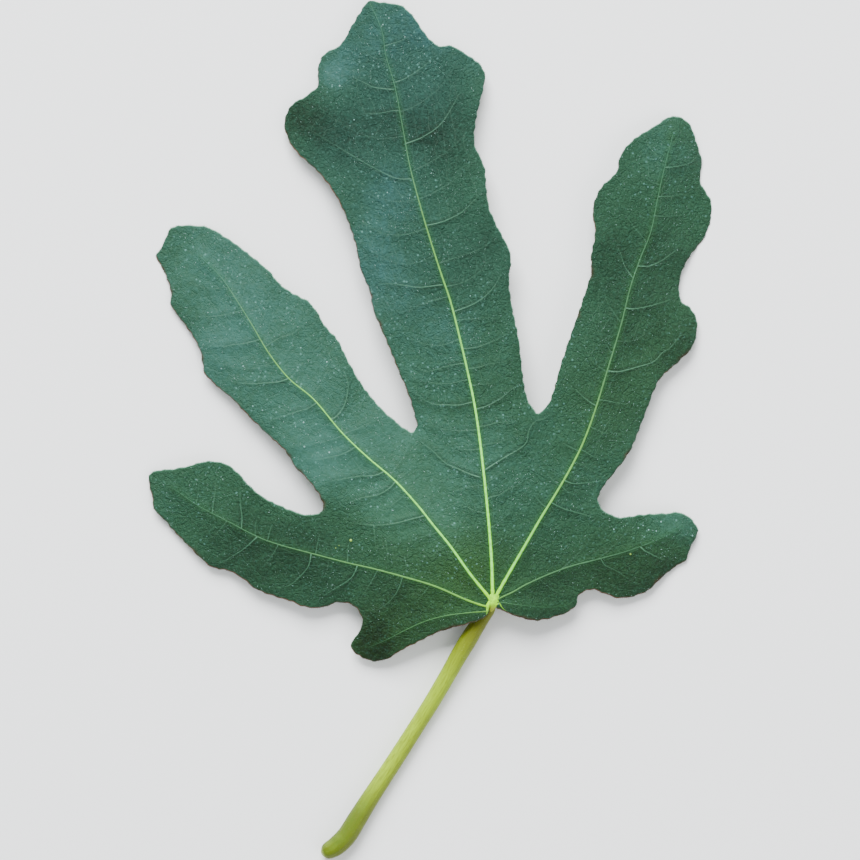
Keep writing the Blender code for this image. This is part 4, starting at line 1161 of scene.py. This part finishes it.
def blade_material(group):
    """Deep green felted skin: bluer and paler in places with painted sheen and darker in others
    with painted shade, with lighter lines along the veins and painted shade beside them, a
    yellower glow beside the ribs, pale specks, a margin with a painted highlight on the side that
    faces the light and painted brown shade on the other, and a paler, more yellow underside."""
    material, shader, nodes = new_material("blade_skin")
    base = skinned(nodes, group)
    show, to_vein = nodes.attribute("vein_show"), nodes.attribute("to_vein")
    line = nodes.times(nodes.step(to_vein, 0.02, 0.25, 1.0, 0.0), show, 0.3)
    skin = nodes.mix(line, base["Colour"], VEIN_PALE)
    # painted shade: darker lines along both sides of each vein, stronger where the vein shows more
    flank = nodes.step(to_vein, 0.1, 0.35)
    flank = nodes.times(flank, nodes.step(to_vein, 0.4, 1.1, 0.45, 0.0), show)
    skin = nodes.mix(flank, skin, SKIN_DARK)
    glow = nodes.step(nodes.attribute("to_rib"), 0.3, 1.6, 1.0, 0.0)
    skin = nodes.mix(nodes.times(glow, nodes.attribute("rib_pale"), 0.4), skin, RIB_GLOW)
    place = nodes.place()
    dot = nodes.step(nodes.cells(place, 640.0, "F1"), 0.08, 0.24, 1.0, 0.0)
    crowd = nodes.step(nodes.noise(place, 110.0, 2.0), 0.4, 0.62, 0.0, 0.6)
    crowd = nodes.times(crowd, nodes.step(nodes.attribute("pale"), -0.3, 0.1))
    skin = nodes.mix(nodes.times(dot, crowd), skin, SPECK)
    # painted highlight on the margin that faces the light, painted brown shade on the margin
    # facing away
    rim = nodes.attribute("rim")
    skin = nodes.mix(nodes.step(rim, 0.05, 0.6, 0.0, 0.8), skin, PAINTED_LIT_EDGE)
    broken = nodes.step(nodes.noise(place, 160.0), 0.36, 0.52, 0.3, 0.9)
    skin = nodes.mix(nodes.times(nodes.step(rim, -0.03, -0.5), broken), skin, PAINTED_SHADED_EDGE)
    skin = nodes.mix(nodes.attribute("scar"), skin, SCAR)
    under = nodes.mix(nodes.times(base["Net"], 0.4), UNDERSIDE, UNDERSIDE_NET)
    skin = nodes.mix(nodes.attribute("below"), skin, under)
    nodes.paint(shader, skin, base["Gloss"], 0.12)
    nodes.bump(shader, base["Relief"], 0.9, 0.0006)
    return material


def rib_material(group):
    """Ribs: yellow-green near the hub, pale with greener sides further out, the paler top partly a
    painted highlight along the ridge, passing into the blade's own green towards the tips, and
    yellow-green below."""
    material, shader, nodes = new_material("rib_skin")
    grain = nodes.noise(nodes.place(), 1400.0)
    paleness = nodes.attribute("rib_pale")
    pale = nodes.mix(nodes.step(paleness, 0.1, 0.45), RIB_FAR, RIB_FAINT)
    pale = nodes.mix(nodes.step(paleness, 0.3, 0.85), pale, RIB_PALE)
    # the sides take RIB_EDGE and the top stays paler: partly the rib's own yellow edge, partly a
    # painted highlight along the top
    pale = nodes.mix(nodes.step(nodes.attribute("flank"), 0.35, 0.9), pale, RIB_EDGE)
    pale = nodes.mix(nodes.attribute("yellow"), pale, RIB_YELLOW)
    skin = nodes.mix(paleness, skinned(nodes, group)["Colour"], pale)
    shade = nodes.times(nodes.step(grain, 0.42, 0.7, 0.0, 0.35), paleness)
    skin = nodes.mix(shade, skin, RIB_GLOW)
    nodes.paint(shader, nodes.mix(nodes.attribute("below"), skin, KEEL), 0.5, 0.06)
    nodes.bump(shader, grain, 0.5, 0.0001)
    return material


def vein_material(group):
    """Side veins and cross veins: the blade's own green, paler the more the vein shows."""
    material, shader, nodes = new_material("vein_skin")
    mottled = nodes.step(nodes.noise(nodes.place(), 1800.0), 0.3, 0.7, 0.75, 0.4)
    share = nodes.times(nodes.attribute("vein_show"), mottled)
    skin = nodes.mix(share, skinned(nodes, group)["Colour"], VEIN_PALE)
    nodes.paint(shader, nodes.mix(nodes.attribute("below"), skin, UNDERSIDE_NET), 0.55, 0.3)
    return material


def stalk_material():
    """Stalk: yellow at its neck, olive near the blade, partly painted shade under the blade's
    overhang, light yellow-green along its middle with painted shade down one side, greener
    towards its cut end, with fine streaks and pale blotches along it."""
    material, shader, nodes = new_material("stalk_skin")
    along, around = nodes.attribute("along"), nodes.attribute("around")
    lengthwise = nodes.add("ShaderNodeCombineXYZ", {0: nodes.times(along, 3.0), 1: around})
    streaks = nodes.noise(lengthwise.outputs[0], 7.0, 4.0, 0.65)
    blotches = nodes.step(nodes.noise(nodes.place(), 220.0), 0.5, 0.75, 0.0, 0.3)
    # painted shade down one side of the stalk
    shaded = nodes.step(around, 0.5, 1.9, 0.6, 0.0)
    skin = STALK_OLIVE
    for mask, colour in (
        # olive left towards the blade: partly the stalk's own olive, partly painted shade under
        # the blade
        (nodes.step(along, 0.1, 0.36), STALK_LIGHT),
        (nodes.step(along, 0.66, 0.84), STALK_GREEN),
        (nodes.times(shaded, nodes.step(along, 0.2, 0.6)), STALK_OLIVE),
        (nodes.step(streaks, 0.4, 0.65, 0.0, 0.5), STALK_OLIVE),
        (nodes.times(blotches, nodes.step(along, 0.6, 0.8, 1.0, 0.4)), STALK_PALE),
        (nodes.step(along, 0.012, 0.036, 1.0, 0.0), RIB_YELLOW),
        (nodes.step(along, 0.985, 0.997), STALK_CUT),
    ):
        skin = nodes.mix(mask, skin, colour)
    nodes.paint(shader, skin, 0.45, 0.25)
    nodes.bump(shader, streaks, 0.5, 0.0003)
    return material


def hair_material(name, colours):
    """Short stiff hairs and small domes, from dull to bright."""
    material, shader, nodes = new_material(name)
    tone = nodes.step(nodes.noise(nodes.place(), 400.0), 0.35, 0.65)
    nodes.paint(shader, nodes.mix(tone, *colours), 0.35)
    return material


def make_blade(material):
    """The blade: one closed sheet whose upper and lower faces share one plan of triangles. A
    band of triangles joins the edges that only one triangle of the plan uses."""
    plan, triangles = blade_plan()
    lay = Lay(plan)
    count = len(plan)
    edges = np.vstack([triangles[:, [0, 1]], triangles[:, [1, 2]], triangles[:, [2, 0]]])
    _, first, uses = np.unique(
        np.sort(edges, axis=1), axis=0, return_index=True, return_counts=True
    )
    a, b = edges[first[uses == 1]].T
    rim = [np.column_stack([b, a, a + count]), np.column_stack([b, a + count, b + count])]
    faces = np.vstack([triangles, triangles[:, ::-1] + count, *rim])
    corners = np.column_stack([np.tile(plan, (2, 1)), np.append(lay.top, lay.under)])
    facing = np.zeros(count)
    # how far each margin point faces the light: over zero it gets painted highlight, under zero
    # painted shade
    facing[:len(MARGIN_LINE)] = outward_from(MARGIN_LINE) @ LIT_RIM_FACING
    shared = tones_at(plan) | {
        "to_rib": lay.to_rib, "rib_pale": lay.rib_pale, "to_vein": lay.to_vein,
        "vein_show": lay.vein_show, "scar": scars_at(plan, lay.to_margin), "rim": facing,
    }
    values = {key: np.tile(numbers, 2) for key, numbers in shared.items()}
    values["below"] = np.repeat([0.0, 1.0], count)
    blade = piece("leaf_blade", corners, faces, material, values)
    blade.data.set_sharp_from_angle(angle=math.radians(50))
    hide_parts("blade")


def make_ribs(material):
    """Main ribs: narrow rounded ridges on the upper face, beaded by a wave that is hastened
    and slowed along it, and thick keels below it. They pass into the hub at their roots, where
    they take on the crown's yellow."""
    sides = 16
    bars = []
    plans = [smooth_route(route, RIB_STEP) for route in RIB_ROUTES]
    for rib, path in zip(RIBS.values(), laid(plans, RIB_SUNK)):
        share = np.linspace(0.0, 1.0, len(path))
        run = RIB_STEP * np.arange(len(path)) / BEAD_LENGTH
        bead = 1 + BEAD_SHARE * np.sin(2 * math.pi * run + 2 * np.sin(run))
        half = np.interp(share, FIFTHS, rib["widths"]) / 2 * bead
        radius = np.interp(share, [0, 1], rib["radii"])
        drop = np.minimum(SHEET + KEEL_DEPTH * radius, path[:, 2] - KEEL_CLEAR)
        corners, triangles, values = bar(
            path, half * 1.08, RIB_SUNK + 0.03 + 0.4 * half, radius, drop, sides,
            rib_pale=np.interp(share, FIFTHS, rib["pale"]),
            flank=np.clip(half / 0.25 - 0.4, 0.0, 1.0),
        )
        # flank is highest on the rib's sides and nothing on its top, which stays paler as a partly
        # painted highlight
        values["flank"] *= around_bar(np.abs(np.cos(circle(sides))), len(path))
        values["yellow"] = rib.get("yellow", 1.0) * bell(apart(corners, *CROWN), CROWN_REACH)
        bars.append((corners, triangles, values))
    bars_piece("main_ribs", bars, material, "stalk_yellow_green")


def make_hub(material):
    """The hub: an uneven lump, long like an egg, that lies over the stalk's head, and the
    rims of the blade beside the notch. The lump's width and height follow
    sqrt(1 - place squared) along it, with a few swellings, and it narrows towards the stalk.
    The rims' width follows 1 - run squared away from it."""
    sides = 40
    line = smooth_route(HUB_LINE, 0.12)
    place = np.linspace(-0.998, 0.998, len(line))
    girth = np.sqrt(1 - place**2)
    half = HUB_HALF * girth * (1 - 0.45 * place + 0.07 * np.sin(7 * place + 0.6))
    rise = HUB_RISE * girth * (1 + 0.12 * np.cos(6 * place))
    below = np.clip(1.7 * place + 0.05, 0.0, 1.0)
    lump = bar(line, half, rise, half, 1.3 * girth, sides, rib_pale=0.95, below=below)
    turn = around_bar(circle(sides), len(line))
    station = along_bar(place, sides)
    lump[0][:, 2] += 0.09 * np.sin(5 * turn + 4 * station) * (1 - station**2)
    bars = [lump]
    plans = [smooth_route(route, 0.15) for _, route in HUB_RIMS]
    for (half, _), path in zip(HUB_RIMS, laid(plans, VEIN_SUNK)):
        run = np.linspace(0.0, 0.97, len(path))
        girth = half * (1 - run**2)
        pale = (0.4 + half) * (1 - 0.5 * run)
        rise = VEIN_SUNK + 0.4 * girth
        bars.append(bar(path, girth, rise, girth, SHEET, 16, rib_pale=pale, below=0.0))
    for corners, _, values in bars:
        values["flank"] = np.zeros(len(corners))
        values["yellow"] = np.clip(1.2 - 0.15 * apart(corners, *CROWN), 0.5, 1.0)
    bars_piece("hub", bars, material, "stalk_yellow_green")


def make_side_veins(material):
    """Side veins: fine ridges that run through the sheet and stand out on both faces, wider
    the more they show and narrower from root to tip."""
    bars = []
    plans = [smooth_route(route, 0.6) for route in VEIN_ROUTES]
    for show, path in zip(VEIN_SHOWS, laid(plans, VEIN_SUNK)):
        share = np.linspace(0.0, 1.0, len(path))
        half = np.interp(share, [0, 0.15, 1], [0.14, 0.09, 0.05]) * (0.5 + 0.5 * show)
        keel = np.interp(share, [0, 1], [0.4, 0.15])
        drop = np.minimum(SHEET - VEIN_SUNK + keel, path[:, 2] - KEEL_CLEAR)
        seen = show * np.interp(share, [0, 0.5, 1], [1.0, 0.7, 0.2])
        rise = VEIN_SUNK + half * 0.35
        bars.append(bar(path, half * 1.5, rise, keel, drop, 8, vein_show=seen))
    bars_piece("side_veins", bars, material)


def cross_plans():
    """Crooked routes that join neighbouring side veins, a few millimetres apart. Each sways
    off its straight line by a half wave and a whole wave of random heights."""
    draw = np.random.default_rng(CROSS_SEED)
    plans = []
    for group in SIDE_VEINS.values():
        routes = [smooth_route(route, 0.5) for _, route in group]
        for one, other in zip(routes[:-1], routes[1:]):
            count = int(min(len(one), len(other)) * 0.5 / CROSS_GAP)
            for share in (np.arange(count) + draw.uniform(0.3, 0.7, count)) / max(count, 1):
                start = one[int(share * (len(one) - 1))]
                far = np.clip(share + draw.normal(0.0, 0.03), 0, 1)
                end = other[int(far * (len(other) - 1))]
                length = np.linalg.norm(end - start)
                if not CROSS_SHORTEST < length < CROSS_LONGEST:
                    continue
                run = np.linspace(0.0, 1.0, max(5, round(length / 0.6)))[:, None]
                across = np.array([start[1] - end[1], end[0] - start[0]]) / length
                bend = draw.normal(0.0, 0.35, 2)
                sway = bend[0] * np.sin(math.pi * run) + bend[1] * np.sin(2 * math.pi * run)
                plans.append(start + run * (end - start) + sway * across)
    return plans


def make_cross_veins(material):
    """Cross veins: thread-like four-sided ridges on the upper face between the side veins."""
    bars = [
        bar(path, 0.07, 0.08, 0.07, 0.05, 4, vein_show=0.3, below=0.0)
        for path in laid(cross_plans(), 0.05)
    ]
    bars_piece("cross_veins", bars, material)


def stalk_path(step):
    """The stalk's middle line and radius, at stations about `step` apart."""
    points = [(x, y, under + radius, radius) for x, y, under, radius in STALK_ROUTE]
    line, radius = np.split(smooth_route(points, step), [3], axis=1)
    return line, radius[:, 0]


def make_stalk(material):
    """The stalk: a round bar with faint furrows along it, from the crown under the ribs to its
    cut end. Over the last END_ROUND millimetres its radius follows a quarter circle down to
    0.35 of itself. It is pressed flat where it lies on the floor."""
    sides = 48
    line, radius = stalk_path(0.6)
    steps = np.linalg.norm(np.diff(line, axis=0), axis=1)
    to_end = np.append(np.cumsum(steps[::-1])[::-1], 0.0)
    quarter = np.sqrt(np.clip(1 - (1 - to_end / END_ROUND) ** 2, 0.0, 1.0))
    radius = radius * np.where(to_end > END_ROUND, 1.0, 0.35 + 0.65 * quarter)
    corners, triangles = swept(line, radius, radius, radius, radius, sides)
    turn = around_bar(circle(sides), len(line))
    middle = np.vstack([np.repeat(line, sides, axis=0), line[:1], line[-1:]])
    furrow = 1 + 0.012 * np.sin(7 * turn + 1.0) + 0.008 * np.sin(13 * turn)
    corners = middle + (corners - middle) * furrow[:, None]
    corners[:, 2] = np.maximum(corners[:, 2], 0.0)
    values = {
        "along": along_bar(np.linspace(0.0, 1.0, len(line)), sides),
        "around": np.abs(turn - math.pi),
    }
    stalk = piece("leaf_stalk", corners, triangles, material, values, "stalk_yellow_green")
    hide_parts("stalk")


def spikes(roots, tips, radius):
    """Three-sided spikes, one for each root and tip, closed by a face at the root."""
    way = unit(tips - roots)
    steep = np.abs(way[:, 2:]) > 0.9
    side = unit(np.cross(way, np.where(steep, [1.0, 0.0, 0.0], [0.0, 0.0, 1.0])))
    up = np.cross(way, side)
    ring = [
        roots + radius[:, None] * (math.cos(turn) * side + math.sin(turn) * up)
        for turn in circle(3)
    ]
    corners = np.stack([*ring, tips], axis=1).reshape(-1, 3)
    pattern = np.array([[0, 1, 3], [1, 2, 3], [2, 0, 3], [0, 2, 1]])
    return corners, (np.arange(len(roots))[:, None, None] * 4 + pattern).reshape(-1, 3)


def make_blade_hairs(name, material):
    """Short stiff hairs on the upper face, mostly leaning away from the stalk, in patches made
    by sums of waves across each other, and fewer where painted shade darkens the skin."""
    seed, count, lengths, radii = BLADE_HAIRS[name]
    draw = np.random.default_rng(seed)
    roots = draw.uniform(FILL_LOW, FILL_HIGH, (count * 3, 2))
    patches = np.sin(roots[:, 0] * 0.37 + 2 * np.sin(roots[:, 1] * 0.21))
    patches += np.sin(roots[:, 1] * 0.31 + 2 * np.sin(roots[:, 0] * 0.17))
    kept = draw.uniform(-2.4, 1.6, len(roots)) < patches
    kept &= draw.uniform(-0.45, 0.1, len(roots)) < tones_at(roots)["pale"]
    roots = roots[inside_margin(roots) & kept]
    number = len(roots)
    away = roots - KNOB
    turn = np.arctan2(away[:, 1], away[:, 0]) + draw.normal(0.0, 0.8, number)
    lean = draw.uniform(0.15, 0.8, number)
    way = np.column_stack([np.cos(turn) * np.cos(lean), np.sin(turn) * np.cos(lean), np.sin(lean)])
    start = laid([roots], 0.03)[0]
    tips = start + way * draw.uniform(*lengths, number)[:, None]
    piece(name, *spikes(start, tips, draw.uniform(*radii, number)), material)


def make_margin_hairs(material):
    """Fringe of fine hairs that stand out from the margin, each turned a little aside."""
    seed, count, lengths, radii = MARGIN_HAIRS
    draw = np.random.default_rng(seed)
    index = draw.integers(0, len(MARGIN_LINE), count)
    place = MARGIN_LINE[index]
    outward = outward_from(MARGIN_LINE)[index]
    height = Lay(place).under + draw.uniform(0.02, 0.25, count)
    roots = np.column_stack([place - outward * 0.05, height])
    turn = draw.normal(0.0, 0.6, count)
    way = np.column_stack([
        outward[:, 0] * np.cos(turn) - outward[:, 1] * np.sin(turn),
        outward[:, 0] * np.sin(turn) + outward[:, 1] * np.cos(turn),
        draw.uniform(-0.3, 0.5, count),
    ])
    tips = roots + way * draw.uniform(*lengths, count)[:, None]
    piece("margin_hairs", *spikes(roots, tips, draw.uniform(*radii, count)), material)


def make_stalk_hairs(material):
    """Fine down all along the stalk, on its sides and its upper half."""
    seed, count, lengths, radii = STALK_HAIRS
    draw = np.random.default_rng(seed)
    line, radius = stalk_path(0.25)
    index = draw.integers(4, len(line) - 2, count)
    ahead = unit(line[index + 1] - line[index - 1])
    side, up = square_to(ahead)
    turn = draw.uniform(-0.3, math.pi + 0.3, count)[:, None]
    out = np.cos(turn) * side + np.sin(turn) * up
    roots = line[index] + out * (radius[index] * 0.98)[:, None]
    way = out + ahead * draw.normal(0.0, 0.5, (count, 1))
    tips = roots + way * draw.uniform(*lengths, (count, 1))
    hairs = spikes(roots, tips, draw.uniform(*radii, count))
    piece("stalk_hairs", *hairs, material, slot="stalk_yellow_green")


def make_domes(name, material, places):
    """Low round domes on the upper face, each with ten sides, a shoulder and a flat base."""
    sides = 10
    x, y, radius = np.array(places).T[..., None]
    turn = circle(sides)
    top = Lay(np.hstack([x, y])).top[:, None]
    rings = []
    for share, rise in ((1.0, -0.06), (0.72, 0.3)):
        reach = radius * share
        level = np.repeat(top + radius * rise, sides, axis=1)
        rings.append((x + reach * np.cos(turn), y + reach * np.sin(turn), level))
    middles = [(x, y, top + radius * rise) for rise in (-0.06, 0.42)]
    corners = np.concatenate([np.stack(ring, axis=2) for ring in rings + middles], axis=1)
    starts = np.arange(len(places))[:, None, None] * corners.shape[1]
    triangles = stacked_rings(2, sides) + starts
    piece(name, corners.reshape(-1, 3), triangles.reshape(-1, 3), material)


def make_floor():
    """Plain pale floor."""
    bpy.ops.mesh.primitive_plane_add(size=6.0, location=(0.0, 0.0, 0.0))
    floor = bpy.context.object
    floor.name = "floor"
    material, shader, nodes = new_material("floor_paint")
    nodes.paint(shader, FLOOR_PAINT, 0.85, 0.2)
    floor.data.materials.append(material)


def make_studio():
    """Broad soft light from beyond the tip, a fill from the lower right, and a dim even sky.
    Both lights face the leaf."""
    for name, place, size, power, colour in LIGHTS:
        data = bpy.data.lights.new(name, "AREA")
        data.shape = "SQUARE"
        data.size = size
        data.energy = power
        data.color = colour
        light = placed(name, data, place)
        light.rotation_euler = (-Vector(place)).to_track_quat("-Z", "Y").to_euler()
    world = bpy.data.worlds.new("studio")
    world.use_nodes = True
    sky = world.node_tree.nodes["Background"].inputs
    sky["Color"].default_value = SKY_COLOUR
    sky["Strength"].default_value = SKY
    bpy.context.scene.world = world


def make_camera():
    """Camera straight above the leaf, at the photograph's scale."""
    data = bpy.data.cameras.new("camera")
    data.sensor_width = SENSOR
    data.lens = SENSOR * CAMERA_HEIGHT / PHOTO_WIDTH
    data.clip_start = 0.01
    bpy.context.scene.camera = placed("camera", data, (0.0, 0.0, CAMERA_HEIGHT * MM))


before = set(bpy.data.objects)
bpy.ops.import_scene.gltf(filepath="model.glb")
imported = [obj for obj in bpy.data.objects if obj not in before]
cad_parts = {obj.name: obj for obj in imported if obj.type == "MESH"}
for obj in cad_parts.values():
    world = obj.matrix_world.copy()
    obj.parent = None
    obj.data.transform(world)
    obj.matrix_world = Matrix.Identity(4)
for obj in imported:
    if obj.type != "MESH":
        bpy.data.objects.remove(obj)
CAD_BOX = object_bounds()
BOX = (np.array(CAD_BOX[0]) / MM, np.array(CAD_BOX[1]) / MM)


def main():
    """Builds the leaf, the floor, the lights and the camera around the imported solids."""
    make_camera()
    make_studio()
    make_floor()
    skin = leaf_skin_group()
    make_blade(blade_material(skin))
    ribs = rib_material(skin)
    make_ribs(ribs)
    make_hub(ribs)
    veins = vein_material(skin)
    make_side_veins(veins)
    make_cross_veins(veins)
    make_stalk(stalk_material())
    fine = hair_material("fine_hair", FINE_HAIR)
    make_blade_hairs("bright_hairs", hair_material("bright_hair", BRIGHT_HAIR))
    make_blade_hairs("fine_hairs", fine)
    make_margin_hairs(fine)
    make_stalk_hairs(hair_material("stalk_down", STALK_DOWN))
    make_domes("flecks", hair_material("fleck", FLECK), FLECKS)
    make_domes("galls", hair_material("gall", GALL), GALLS)


main()
